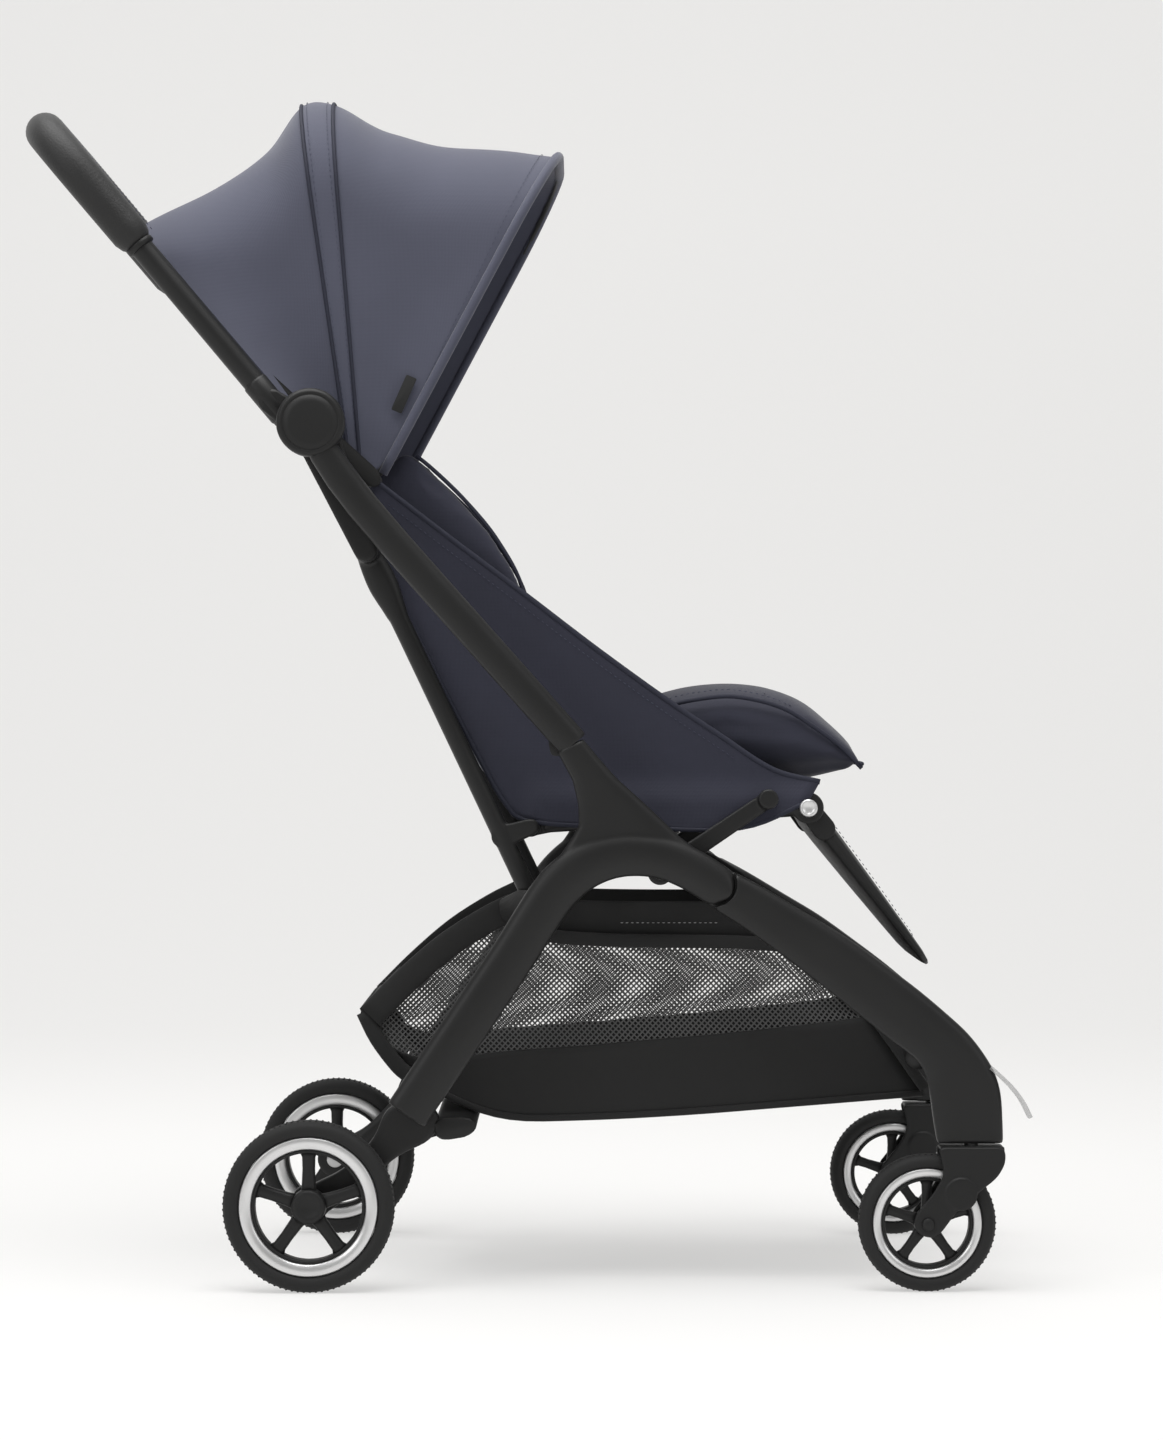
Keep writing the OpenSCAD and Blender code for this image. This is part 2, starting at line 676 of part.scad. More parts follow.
module mid_bow() { color("gray") hoop(mid_bow_angle, mid_bow_y, canopy_reach - 10, bow_r); }
module front_bow() { color("gray") hoop(front_bow_angle, front_bow_y, canopy_reach, bow_r); }
// Half of the canopy cross-section: radius from the pivot against distance across
module canopy_section(reach, y, corner, inner) {
    square([reach - corner, 2 * y]);
    translate([0, corner]) square([reach, 2 * y - 2 * corner]);
    translate([reach - corner, corner]) circle(corner);
    translate([reach - corner, 2 * y - corner]) circle(corner);
}
// Shell swept about the pivot axis between two angles of the side view
module canopy_shell(a0, a1, reach, y) {
    translate([bow_pivot[0], 0, bow_pivot[1]]) rotate([90, 0, 0]) rotate([0, 0, a0]) {
        rotate_extrude(angle = a1 - a0) translate([0, -y]) difference() {
            canopy_section(reach, y, canopy_corner);
            translate([-1, fabric_t]) canopy_section(reach - fabric_t + 1, y - fabric_t,
                canopy_corner - fabric_t);
            translate([-1, -1]) square([61, 2 * y + 2]);
        }
    }
}
canopy_y = mount_out - 5 - 0.8;
module canopy_rear() {
    color("steelblue") canopy_shell(mid_bow_angle + 5, handle_angle - 6, canopy_reach - 43, front_bow_y - 4.5);
}
module canopy_front() {
    color("steelblue") canopy_shell(front_bow_angle + 5, mid_bow_angle - 2, canopy_reach - 10,
        front_bow_y - 0.5);
}

hub_left();
hub_right();
rear_leg_left();
rear_leg_right();
hub_crossbar();
rear_crossbar();
wheel_bracket_left();
wheel_bracket_right();
rear_axles();
basket();
rear_tyre_left();
rear_ring_left();
rear_spokes_left();
rear_tyre_right();
rear_ring_right();
rear_spokes_right();
brake_pedal();
front_leg_left();
front_leg_right();
front_crossbar();
fork_left();
fork_right();
front_tyre_left();
front_ring_left();
front_spokes_left();
front_tyre_right();
front_ring_right();
front_spokes_right();
upper_tube_left();
upper_tube_right();
elbow_housing_left();
elbow_housing_right();
handlebar();
grip();
elbow_plate_left();
elbow_plate_right();
canopy_mounts();
release_housing();
fold_button();
head_panel();
lower_strut_left();
lower_strut_right();
backrest();
side_panel_left();
side_panel_right();
seat_rail_left();
seat_rail_right();
seat_crossbars();
seat_pan();
seat_cushion();
front_edge_roll();
harness_buckle();
seat_rocker_left();
seat_rocker_right();
leg_rest();
leg_rest_buttons();
mid_bow();
front_bow();
canopy_rear();
canopy_front();
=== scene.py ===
# %% [markdown]
# # A compact travel stroller, dressed over its CAD frame
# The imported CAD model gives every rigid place: pivots, layers and wheel centres. This script lays the
# finished surfaces over it. Side view positions are written in millimetres as (x, z), with x forward and
# z up, and y is the distance to the left of the middle plane. Meshes are stored in metres.

# %%
import bpy
import bmesh
import json
from math import atan2, copysign, cos, hypot, pi, radians, sin, sqrt, tau
from mathutils import Matrix, Vector
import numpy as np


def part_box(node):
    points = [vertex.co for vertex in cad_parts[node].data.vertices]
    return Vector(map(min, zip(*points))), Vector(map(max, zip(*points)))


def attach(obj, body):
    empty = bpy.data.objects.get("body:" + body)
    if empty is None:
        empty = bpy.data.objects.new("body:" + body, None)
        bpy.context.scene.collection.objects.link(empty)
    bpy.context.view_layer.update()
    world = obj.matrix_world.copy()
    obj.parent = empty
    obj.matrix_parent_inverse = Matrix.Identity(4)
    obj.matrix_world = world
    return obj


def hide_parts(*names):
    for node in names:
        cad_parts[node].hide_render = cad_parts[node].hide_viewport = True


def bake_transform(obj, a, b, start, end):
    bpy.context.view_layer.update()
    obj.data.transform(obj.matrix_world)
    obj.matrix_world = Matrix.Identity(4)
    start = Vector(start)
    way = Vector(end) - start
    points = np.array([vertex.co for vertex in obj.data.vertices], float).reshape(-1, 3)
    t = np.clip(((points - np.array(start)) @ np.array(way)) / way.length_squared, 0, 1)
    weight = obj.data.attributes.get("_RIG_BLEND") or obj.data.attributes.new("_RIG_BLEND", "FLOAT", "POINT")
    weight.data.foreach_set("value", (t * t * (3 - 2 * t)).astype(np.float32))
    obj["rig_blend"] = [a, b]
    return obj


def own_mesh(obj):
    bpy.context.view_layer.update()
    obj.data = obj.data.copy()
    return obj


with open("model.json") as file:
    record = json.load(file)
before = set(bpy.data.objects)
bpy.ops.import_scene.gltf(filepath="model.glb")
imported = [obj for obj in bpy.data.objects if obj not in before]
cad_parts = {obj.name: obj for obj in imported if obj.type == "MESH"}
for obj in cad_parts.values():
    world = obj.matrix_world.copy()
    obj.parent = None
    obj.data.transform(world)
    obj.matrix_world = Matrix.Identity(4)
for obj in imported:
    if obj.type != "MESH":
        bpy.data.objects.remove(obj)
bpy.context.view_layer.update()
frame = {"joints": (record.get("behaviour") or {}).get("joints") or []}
MM = 0.001
pivot = {j["name"]: (j["pos_m"][0] / MM, j["pos_m"][2] / MM)
         for j in frame["joints"] if "pos_m" in j}
MAIN = pivot["fold"]
ELBOW = pivot["handle_fold"]
FRONT = pivot["front_fold"]
FOOT = pivot["strut_fold"]
SEAT = pivot["seat_fold"]
ROCK = pivot["rocker_fold"]
LEG = pivot["leg_rest_tilt"]
BOW = pivot["canopy_front_fold"]
REAR_AXLE = pivot["rear_wheel_left_spin"]
FRONT_AXLE = pivot["front_wheel_left_spin"]
SWIVEL_X = pivot["caster_left_swivel"][0]
print("pivots", {k: (round(v[0]), round(v[1])) for k, v in pivot.items()})

# %% [markdown]
# ## Geometry helpers
# `polar` places a point in the side view, and `direction` gives the angle between two. `curve_through`
# runs a smooth line through a few stations of any dimension, so positions and sizes ease together.

# %%
def polar(p, angle, reach):
    return (p[0] + reach * cos(radians(angle)), p[1] + reach * sin(radians(angle)))


def direction(p, q):
    return atan2(q[1] - p[1], q[0] - p[0]) * 180 / pi


def mix(a, b, t):
    return tuple(x + (y - x) * t for x, y in zip(a, b))


def ease(t):
    t = min(1.0, max(0.0, t))
    return t * t * (3 - 2 * t)


def curve_through(points, steps=6):
    pts = [tuple(p) for p in points]
    ends = [tuple(2 * a - b for a, b in zip(pts[0], pts[1]))] + pts
    ends.append(tuple(2 * a - b for a, b in zip(pts[-1], pts[-2])))
    out = []
    for i in range(1, len(ends) - 2):
        p0, p1, p2, p3 = ends[i - 1:i + 3]
        for k in range(steps):
            t = k / steps
            out.append(tuple(
                0.5 * (2 * b + (c - a) * t + (2 * a - 5 * b + 4 * c - d) * t * t
                       + (3 * b - a - 3 * c + d) * t ** 3)
                for a, b, c, d in zip(p0, p1, p2, p3)))
    out.append(pts[-1])
    return out


def piecewise(table, t):
    """Value at t of a table of (position, value) pairs, on a smooth line through its entries."""
    if t <= table[0][0]:
        return table[0][1]
    n = len(table)
    slopes = [(table[min(n - 1, i + 1)][1] - table[max(0, i - 1)][1])
              / (table[min(n - 1, i + 1)][0] - table[max(0, i - 1)][0]) for i in range(n)]
    for i in range(n - 1):
        (a, u), (b, v) = table[i], table[i + 1]
        if t <= b:
            w = b - a
            k = (t - a) / w
            return ((2 * k ** 3 - 3 * k * k + 1) * u + (k ** 3 - 2 * k * k + k) * w * slopes[i]
                    + (3 * k * k - 2 * k ** 3) * v + (k ** 3 - k * k) * w * slopes[i + 1])
    return table[-1][1]


# %% [markdown]
# ## Meshes from rings, outlines and profiles
# `loft` skins rings of equal length, `lathe` turns a profile about an axle, `slab` gives an outline a
# thickness with rounded rims, and `pipe` follows a line in space. All of them end with outward normals.

# %%
def add_mesh(name, verts, faces, smooth=True, outward=True):
    mesh = bpy.data.meshes.new(name)
    mesh.from_pydata([(v[0] * MM, v[1] * MM, v[2] * MM) for v in verts], [], faces)
    bm = bmesh.new()
    bm.from_mesh(mesh)
    bmesh.ops.remove_doubles(bm, verts=bm.verts, dist=1e-6)
    if outward:
        bmesh.ops.recalc_face_normals(bm, faces=bm.faces)
    for f in bm.faces:
        f.smooth = smooth
    bm.to_mesh(mesh)
    bm.free()
    obj = bpy.data.objects.new(name, mesh)
    bpy.context.scene.collection.objects.link(obj)
    return obj


def loft(name, rings, closed=False, capped=True):
    n = len(rings[0])
    rows = len(rings)
    verts = [v for ring in rings for v in ring]
    faces = []
    for i in range(rows if closed else rows - 1):
        k = (i + 1) % rows
        faces += [(i * n + j, i * n + (j + 1) % n, k * n + (j + 1) % n, k * n + j) for j in range(n)]
    if capped and not closed:
        faces += [tuple(range(n)), tuple((rows - 1) * n + j for j in range(n))]
    return add_mesh(name, verts, faces)


def oval(centre, u, v, a, b, n=24, power=2.0):
    """Ring of radii a along u and b along v; a power above 2 squares its corners."""
    ring = []
    for k in range(n):
        c, s = cos(tau * k / n), sin(tau * k / n)
        p = copysign(abs(c) ** (2 / power), c) * a
        q = copysign(abs(s) ** (2 / power), s) * b
        ring.append(tuple(centre[i] + u[i] * p + v[i] * q for i in range(3)))
    return ring


def sweep(name, stations, y, power=2.4, steps=6, n=28):
    """Bar in the side view through stations of (x, z, half depth, half width) in the plane y."""
    line = curve_through(stations, steps) if steps > 1 else list(stations)
    rings = []
    for i, (x, z, a, b) in enumerate(line):
        p, q = line[max(0, i - 1)], line[min(len(line) - 1, i + 1)]
        t = direction(p, q)
        rings.append(oval((x, y, z), (-sin(radians(t)), 0, cos(radians(t))), (0, 1, 0), a, b, n, power))
    return loft(name, rings)


def pipe(name, path, radius, n=18, closed=False, flat=None):
    """Tube along points in space. radius may vary along it; flat squeezes it across `flat[0]`."""
    pts = [Vector(p) for p in path]
    count = len(pts)
    side = None
    rings = []
    for i, p in enumerate(pts):
        if closed:
            t = (pts[(i + 1) % count] - pts[i - 1]).normalized()
        else:
            t = (pts[min(count - 1, i + 1)] - pts[max(0, i - 1)]).normalized()
        if side is None:
            side = t.orthogonal().normalized() if flat is None else Vector(flat[0])
        side = (side - t * side.dot(t)).normalized()
        other = t.cross(side)
        r = radius[i] if isinstance(radius, (list, tuple)) else radius
        rings.append(oval(p, side, other, r * (flat[1] if flat else 1), r, n))
    return loft(name, rings, closed=closed)


def lathe(name, p, profile, n=64, closed=True):
    """Profile of (radius, y) turned about the axle through p."""
    rings = []
    for k in range(n):
        c, s = cos(tau * k / n), sin(tau * k / n)
        rings.append([(p[0] + r * c, y, p[1] + r * s) for r, y in profile])
    m = len(profile)
    verts = [v for ring in rings for v in ring]
    faces = []
    for k in range(n):
        g = (k + 1) % n
        for j in range(m if closed else m - 1):
            faces.append((k * m + j, k * m + (j + 1) % m, g * m + (j + 1) % m, g * m + j))
    return add_mesh(name, verts, faces)


def slab(name, outline, y0, y1, rim=1.2, smooth=True, steps=3):
    """Plate between y0 and y1 whose side view is the outline, with its rims rounded."""
    mesh = bpy.data.meshes.new(name)
    bm = bmesh.new()
    low = [bm.verts.new((x * MM, y0 * MM, z * MM)) for x, z in outline]
    high = [bm.verts.new((x * MM, y1 * MM, z * MM)) for x, z in outline]
    n = len(outline)
    bm.faces.new(low)
    bm.faces.new(high[::-1])
    for i in range(n):
        bm.faces.new((low[i], low[(i + 1) % n], high[(i + 1) % n], high[i]))
    rims = [e for e in bm.edges if len({v.co.y for v in e.verts}) == 1]
    bmesh.ops.bevel(bm, geom=rims, offset=rim * MM, segments=steps, profile=0.5, affect="EDGES",
                    clamp_overlap=True)
    bmesh.ops.recalc_face_normals(bm, faces=bm.faces)
    for f in bm.faces:
        f.smooth = smooth
    bm.to_mesh(mesh)
    bm.free()
    mesh.set_sharp_from_angle(angle=radians(38))
    obj = bpy.data.objects.new(name, mesh)
    bpy.context.scene.collection.objects.link(obj)
    return obj


def arc(c, r, a0, a1, n=10):
    return [polar(c, a0 + (a1 - a0) * i / n, r) for i in range(n + 1)]


def rounded(points, r=4, n=4):
    """The outline with each corner replaced by a small curve of about that radius."""
    out = []
    m = len(points)
    for i in range(m):
        a, b, c = points[i - 1], points[i], points[(i + 1) % m]
        la, lc = hypot(a[0] - b[0], a[1] - b[1]), hypot(c[0] - b[0], c[1] - b[1])
        s, e = mix(b, a, min(0.45, r / la)), mix(b, c, min(0.45, r / lc))
        for k in range(n + 1):
            t = k / n
            out.append(mix(mix(s, b, t), mix(b, e, t), t))
    return out


def capsule_outline(p, q, w0, w1, n=8):
    """Bar with round ends from p to q, w0 wide at p and w1 at q."""
    a = direction(p, q)
    return arc(p, w0 / 2, a + 90, a + 270, n) + arc(q, w1 / 2, a - 90, a + 90, n)


# %% [markdown]
# ## Casting, mirroring and joining
# `cast` melts several solids into one skin through a fine voxel grid and relaxes it, which leaves the
# soft fillets of a moulded or cast part. `mirror` makes the right hand piece from the left one.

# %%
def modified(obj):
    """The mesh with its modifiers applied, and none left on the object."""
    bpy.context.view_layer.update()
    graph = bpy.context.evaluated_depsgraph_get()
    mesh = bpy.data.meshes.new_from_object(obj.evaluated_get(graph))
    obj.modifiers.clear()
    old = obj.data
    obj.data = mesh
    bpy.data.meshes.remove(old)
    mesh.name = obj.name
    return obj


def join(name, parts):
    """One object from several, keeping their materials."""
    bm = bmesh.new()
    mats = []
    for part in parts:
        start = len(bm.faces)
        bm.from_mesh(part.data)
        bm.faces.ensure_lookup_table()
        slots = []
        for m in part.data.materials:
            if m not in mats:
                mats.append(m)
            slots.append(mats.index(m))
        for f in bm.faces[start:]:
            if slots:
                f.material_index = slots[min(f.material_index, len(slots) - 1)]
    mesh = bpy.data.meshes.new(name)
    bm.to_mesh(mesh)
    bm.free()
    for m in mats:
        mesh.materials.append(m)
    for part in parts:
        bpy.data.objects.remove(part)
    obj = bpy.data.objects.new(name, mesh)
    bpy.context.scene.collection.objects.link(obj)
    return obj


def cast(name, parts, voxel=1.8, relax=6):
    obj = join(name, parts)
    remesh = obj.modifiers.new("melt", "REMESH")
    remesh.mode = "VOXEL"
    remesh.voxel_size = voxel * MM
    remesh.use_smooth_shade = True
    soften = obj.modifiers.new("relax", "SMOOTH")
    soften.factor = 0.5
    soften.iterations = relax
    return modified(obj)


def mirror(obj, name):
    mesh = obj.data.copy()
    mesh.name = name
    mesh.transform(Matrix.Scale(-1, 4, (0, 1, 0)))
    mesh.flip_normals()
    copy = bpy.data.objects.new(name, mesh)
    bpy.context.scene.collection.objects.link(copy)
    return copy


def cut(obj, *tools):
    """Takes the tools away from obj and removes them."""
    for tool in tools:
        m = obj.modifiers.new("cut", "BOOLEAN")
        m.operation = "DIFFERENCE"
        m.solver = "EXACT"
        m.object = tool
    modified(obj)
    for tool in tools:
        bpy.data.objects.remove(tool)
    return obj


# %% [markdown]
# ## Soft goods helper
# A pillow is grown from a middle surface: its thickness swells towards the middle and closes at the
# edges, as a filled cover does. With a very small swell the same helper makes a sheet of cloth.

# %%
def surface_frame(middle, u, v):
    d = 0.02
    a = Vector(middle(min(1, u + d), v)) - Vector(middle(max(-1, u - d), v))
    b = Vector(middle(u, min(1, v + d))) - Vector(middle(u, max(-1, v - d)))
    return a.cross(b).normalized()


def pillow(name, middle, thick, nu=40, nv=40, edge=1.2, power=4.0, bump=None):
    """Closed cover around middle(u, v), with u and v from -1 to 1. thick is a number or a function."""
    front, back = [], []
    for i in range(nu + 1):
        for j in range(nv + 1):
            u, v = -1 + 2 * i / nu, -1 + 2 * j / nv
            t = thick(u, v) if callable(thick) else thick
            swell = sqrt(max(0.0, (1 - abs(u) ** power) * (1 - abs(v) ** power)))
            h = edge / 2 + t / 2 * swell
            n = surface_frame(middle, u, v)
            c = Vector(middle(u, v))
            extra = bump(u, v) * swell if bump else 0
            front.append(c + n * (h + extra))
            back.append(c - n * h)
    m = nv + 1
    count = len(front)
    faces = []
    for i in range(nu):
        for j in range(nv):
            a = i * m + j
            faces.append((a, a + 1, a + m + 1, a + m))
            faces.append((count + a, count + a + m, count + a + m + 1, count + a + 1))
    border = ([i * m for i in range(nu + 1)] + [nu * m + j for j in range(1, nv + 1)]
              + [i * m + nv for i in range(nu - 1, -1, -1)] + [j for j in range(nv - 1, 0, -1)])
    for k, a in enumerate(border):
        b = border[(k + 1) % len(border)]
        faces.append((a, b, count + b, count + a))
    return add_mesh(name, front + back, faces)


def cloth(name, grid, thick=1.2):
    """Thin sheet over a grid of points: rows of equal length."""
    m = len(grid[0])
    verts = [p for row in grid for p in row]
    faces = [(i * m + j, i * m + j + 1, (i + 1) * m + j + 1, (i + 1) * m + j)
             for i in range(len(grid) - 1) for j in range(m - 1)]
    obj = add_mesh(name, verts, faces)
    solid = obj.modifiers.new("thick", "SOLIDIFY")
    solid.thickness = thick * MM
    solid.offset = 0
    return modified(obj)


# %% [markdown]
# ## Stitches, screws and tread blocks
# One Geometry Nodes tool repeats a small block along a line of points. Its inputs are named: the pitch,
# the three sizes of the block and its material. The result is realised and kept as a plain mesh.

# %%
def repeat_group():
    group = bpy.data.node_groups.new("repeat_along", "GeometryNodeTree")
    face = group.interface
    face.new_socket("Geometry", in_out="INPUT", socket_type="NodeSocketGeometry")
    for label in ("Pitch", "Length", "Width", "Height"):
        face.new_socket(label, in_out="INPUT", socket_type="NodeSocketFloat")
    face.new_socket("Material", in_out="INPUT", socket_type="NodeSocketMaterial")
    face.new_socket("Geometry", in_out="OUTPUT", socket_type="NodeSocketGeometry")
    add = group.nodes.new
    link = group.links.new
    enter, leave = add("NodeGroupInput"), add("NodeGroupOutput")
    line = add("GeometryNodeMeshToCurve")
    link(enter.outputs["Geometry"], line.inputs["Mesh"])
    even = add("GeometryNodeResampleCurve")
    even.mode = "LENGTH"
    link(line.outputs["Curve"], even.inputs["Curve"])
    link(enter.outputs["Pitch"], even.inputs["Length"])
    size = add("ShaderNodeCombineXYZ")
    link(enter.outputs["Width"], size.inputs["X"])
    link(enter.outputs["Height"], size.inputs["Y"])
    link(enter.outputs["Length"], size.inputs["Z"])
    block = add("GeometryNodeMeshCube")
    link(size.outputs["Vector"], block.inputs["Size"])
    round_off = add("GeometryNodeSubdivisionSurface")
    link(block.outputs["Mesh"], round_off.inputs["Mesh"])
    round_off.inputs["Level"].default_value = 1
    spots = add("GeometryNodeInstanceOnPoints")
    link(even.outputs["Curve"], spots.inputs["Points"])
    link(round_off.outputs["Mesh"], spots.inputs["Instance"])
    tangent = add("GeometryNodeInputTangent")
    turn = add("FunctionNodeAlignRotationToVector")
    turn.axis = "Z"
    link(tangent.outputs["Tangent"], turn.inputs["Vector"])
    link(turn.outputs["Rotation"], spots.inputs["Rotation"])
    real = add("GeometryNodeRealizeInstances")
    link(spots.outputs["Instances"], real.inputs["Geometry"])
    paint = add("GeometryNodeSetMaterial")
    link(real.outputs["Geometry"], paint.inputs["Geometry"])
    link(enter.outputs["Material"], paint.inputs["Material"])
    link(paint.outputs["Geometry"], leave.inputs["Geometry"])
    return group


REPEAT = repeat_group()
SOCKETS = {s.name: s.identifier for s in REPEAT.interface.items_tree
           if s.item_type == "SOCKET" and s.in_out == "INPUT"}


def repeat_along(name, lines, material, pitch, length, width, height):
    """Blocks along each line of points, sizes in millimetres."""
    mesh = bpy.data.meshes.new(name)
    verts, edges = [], []
    for line in lines:
        start = len(verts)
        verts += [tuple(c * MM for c in p) for p in line]
        edges += [(start + i, start + i + 1) for i in range(len(line) - 1)]
    mesh.from_pydata(verts, edges, [])
    obj = bpy.data.objects.new(name, mesh)
    bpy.context.scene.collection.objects.link(obj)
    nodes = obj.modifiers.new("repeat", "NODES")
    values = {"Pitch": pitch * MM, "Length": length * MM, "Width": width * MM, "Height": height * MM,
              "Material": material}
    nodes.node_group = REPEAT
    for label, value in values.items():
        nodes[SOCKETS[label]] = value
    return modified(obj)

# %% [markdown]
# ## Materials
# Three node groups give patterns from object coordinates only: `weave` for cloth, `grain` for moulded
# plastic and rubber, and `brush` for metal. Each returns a height for the bump and a tone for colour and
# roughness. The shader itself stays in the material.

# %%
def pattern_group(name, build, outputs):
    group = bpy.data.node_groups.new(name, "ShaderNodeTree")
    group.interface.new_socket("Vector", in_out="INPUT", socket_type="NodeSocketVector")
    group.interface.new_socket("Scale", in_out="INPUT", socket_type="NodeSocketFloat")
    for label in outputs:
        group.interface.new_socket(label, in_out="OUTPUT", socket_type="NodeSocketFloat")
    enter, leave = group.nodes.new("NodeGroupInput"), group.nodes.new("NodeGroupOutput")

    def value(kind, a, b=None, c=None):
        node = group.nodes.new("ShaderNodeMath")
        node.operation = kind
        for socket, item in zip(node.inputs, (a, b, c)):
            if item is None:
                continue
            if isinstance(item, (int, float)):
                socket.default_value = item
            else:
                group.links.new(item, socket)
        return node.outputs["Value"]

    def noise(scale, detail=2.0, vector=None):
        node = group.nodes.new("ShaderNodeTexNoise")
        node.inputs["Detail"].default_value = detail
        group.links.new(vector or enter.outputs["Vector"], node.inputs["Vector"])
        if isinstance(scale, (int, float)):
            node.inputs["Scale"].default_value = scale
        else:
            group.links.new(scale, node.inputs["Scale"])
        return node.outputs["Fac"]

    for label, socket in build(group, enter, value, noise).items():
        group.links.new(socket, leave.inputs[label])
    return group


def build_weave(group, enter, value, noise):
    parts = group.nodes.new("ShaderNodeSeparateXYZ")
    group.links.new(enter.outputs["Vector"], parts.inputs["Vector"])
    x, y, z = (parts.outputs[i] for i in range(3))
    turns = value("MULTIPLY", enter.outputs["Scale"], tau)
    warp = value("SINE", value("MULTIPLY", value("ADD", value("ADD", x, z), value("MULTIPLY", y, 0.9)),
                               turns))
    weft = value("SINE", value("MULTIPLY", value("ADD", value("SUBTRACT", x, z), value("MULTIPLY", y,
                                                                                       0.9)), turns))
    cross = value("MULTIPLY", warp, weft)
    height = value("MULTIPLY_ADD", cross, 0.5, 0.5)
    cloud = noise(14.0, 3.0)
    tone = value("ADD", value("MULTIPLY", height, 0.35), value("MULTIPLY", cloud, 0.65))
    gap = value("LESS_THAN", value("MINIMUM", value("ABSOLUTE", warp), value("ABSOLUTE", weft)), 0.30)
    return {"Height": height, "Tone": tone, "Gap": gap}


def build_grain(group, enter, value, noise):
    fine = noise(enter.outputs["Scale"], 4.0)
    cells = group.nodes.new("ShaderNodeTexVoronoi")
    group.links.new(enter.outputs["Vector"], cells.inputs["Vector"])
    group.links.new(value("MULTIPLY", enter.outputs["Scale"], 0.8), cells.inputs["Scale"])
    height = value("ADD", value("MULTIPLY", fine, 0.5), value("MULTIPLY", cells.outputs["Distance"], 0.5))
    return {"Height": height, "Tone": noise(9.0, 5.0)}


def build_brush(group, enter, value, noise):
    stretch = group.nodes.new("ShaderNodeMapping")
    stretch.inputs["Scale"].default_value = (1.0, 12.0, 1.0)
    group.links.new(enter.outputs["Vector"], stretch.inputs["Vector"])
    return {"Height": noise(enter.outputs["Scale"], 3.0, stretch.outputs["Vector"]),
            "Tone": noise(22.0, 3.0)}


PATTERNS = {"weave": pattern_group("weave", build_weave, ("Height", "Tone", "Gap")),
            "grain": pattern_group("grain", build_grain, ("Height", "Tone")),
            "brush": pattern_group("brush", build_brush, ("Height", "Tone"))}


def material(name, pattern, scale, dark, light, rough, bump, depth=0.3, metallic=0.0, sheen=0.0,
             coat=0.0, holes=False, opacity=1.0, wrinkle=0.0):
    """dark and light are the two ends of the colour; rough is (low, high); depth is in millimetres."""
    mat = bpy.data.materials.new(name)
    mat.use_nodes = True
    tree = mat.node_tree
    shader = tree.nodes["Principled BSDF"]
    place = tree.nodes.new("ShaderNodeTexCoord")
    group = tree.nodes.new("ShaderNodeGroup")
    group.node_tree = PATTERNS[pattern]
    group.inputs["Scale"].default_value = scale
    tree.links.new(place.outputs["Object"], group.inputs["Vector"])
    ramp = tree.nodes.new("ShaderNodeMix")
    ramp.data_type = "RGBA"
    ramp.inputs["A"].default_value = (*dark, 1)
    ramp.inputs["B"].default_value = (*light, 1)
    tree.links.new(group.outputs["Tone"], ramp.inputs["Factor"])
    tree.links.new(ramp.outputs["Result"], shader.inputs["Base Color"])
    span = tree.nodes.new("ShaderNodeMapRange")
    span.inputs["To Min"].default_value, span.inputs["To Max"].default_value = rough
    tree.links.new(group.outputs["Tone"], span.inputs["Value"])
    tree.links.new(span.outputs["Result"], shader.inputs["Roughness"])
    relief = tree.nodes.new("ShaderNodeBump")
    relief.inputs["Strength"].default_value = bump
    relief.inputs["Distance"].default_value = depth * MM
    tree.links.new(group.outputs["Height"], relief.inputs["Height"])
    if wrinkle:
        waves = tree.nodes.new("ShaderNodeTexNoise")
        waves.inputs["Scale"].default_value = 16.0
        waves.inputs["Distortion"].default_value = 1.2
        tree.links.new(place.outputs["Object"], waves.inputs["Vector"])
        folds = tree.nodes.new("ShaderNodeBump")
        folds.inputs["Strength"].default_value = wrinkle
        folds.inputs["Distance"].default_value = 4 * MM
        tree.links.new(waves.outputs["Fac"], folds.inputs["Height"])
        tree.links.new(folds.outputs["Normal"], relief.inputs["Normal"])
    tree.links.new(relief.outputs["Normal"], shader.inputs["Normal"])
    shader.inputs["Metallic"].default_value = metallic
    shader.inputs["Specular IOR Level"].default_value = 0.5 if metallic else 0.34
    shader.inputs["Sheen Weight"].default_value = sheen
    shader.inputs["Sheen Roughness"].default_value = 0.45
    shader.inputs["Coat Weight"].default_value = coat
    shader.inputs["Alpha"].default_value = opacity
    if holes:
        tree.links.new(group.outputs["Gap"], shader.inputs["Alpha"])
    return mat


def grey(v, w=None):
    return (v, v, v if w is None else w)


PAINT = material("powder_coat", "grain", 1500, grey(0.007), grey(0.014), (0.36, 0.50), 0.18, 0.12)
PLASTIC = material("grained_plastic", "grain", 1100, grey(0.006), grey(0.012), (0.42, 0.58), 0.30, 0.2)
GRIP = material("grip_leatherette", "grain", 620, grey(0.012), grey(0.024), (0.48, 0.62), 0.55, 0.5,
                sheen=0.1)
RUBBER = material("tyre_rubber", "grain", 900, grey(0.010), grey(0.020), (0.62, 0.80), 0.35, 0.3)
SILVER = material("ring_silver", "brush", 260, grey(0.62), grey(0.78), (0.26, 0.38), 0.06, 0.1,
                  metallic=0.85)
STEEL = material("steel", "brush", 420, grey(0.42), grey(0.56), (0.24, 0.40), 0.10, 0.1, metallic=1.0)
BLUE = material("canopy_cloth", "weave", 420, (0.056, 0.059, 0.086), (0.084, 0.088, 0.124), (0.70, 0.86),
                0.30, 0.35, sheen=0.25, wrinkle=0.05)
SEATBLUE = material("seat_cloth", "weave", 420, (0.019, 0.020, 0.033), (0.031, 0.032, 0.052),
                    (0.72, 0.88),
                    0.35, 0.35, sheen=0.22, wrinkle=0.10)
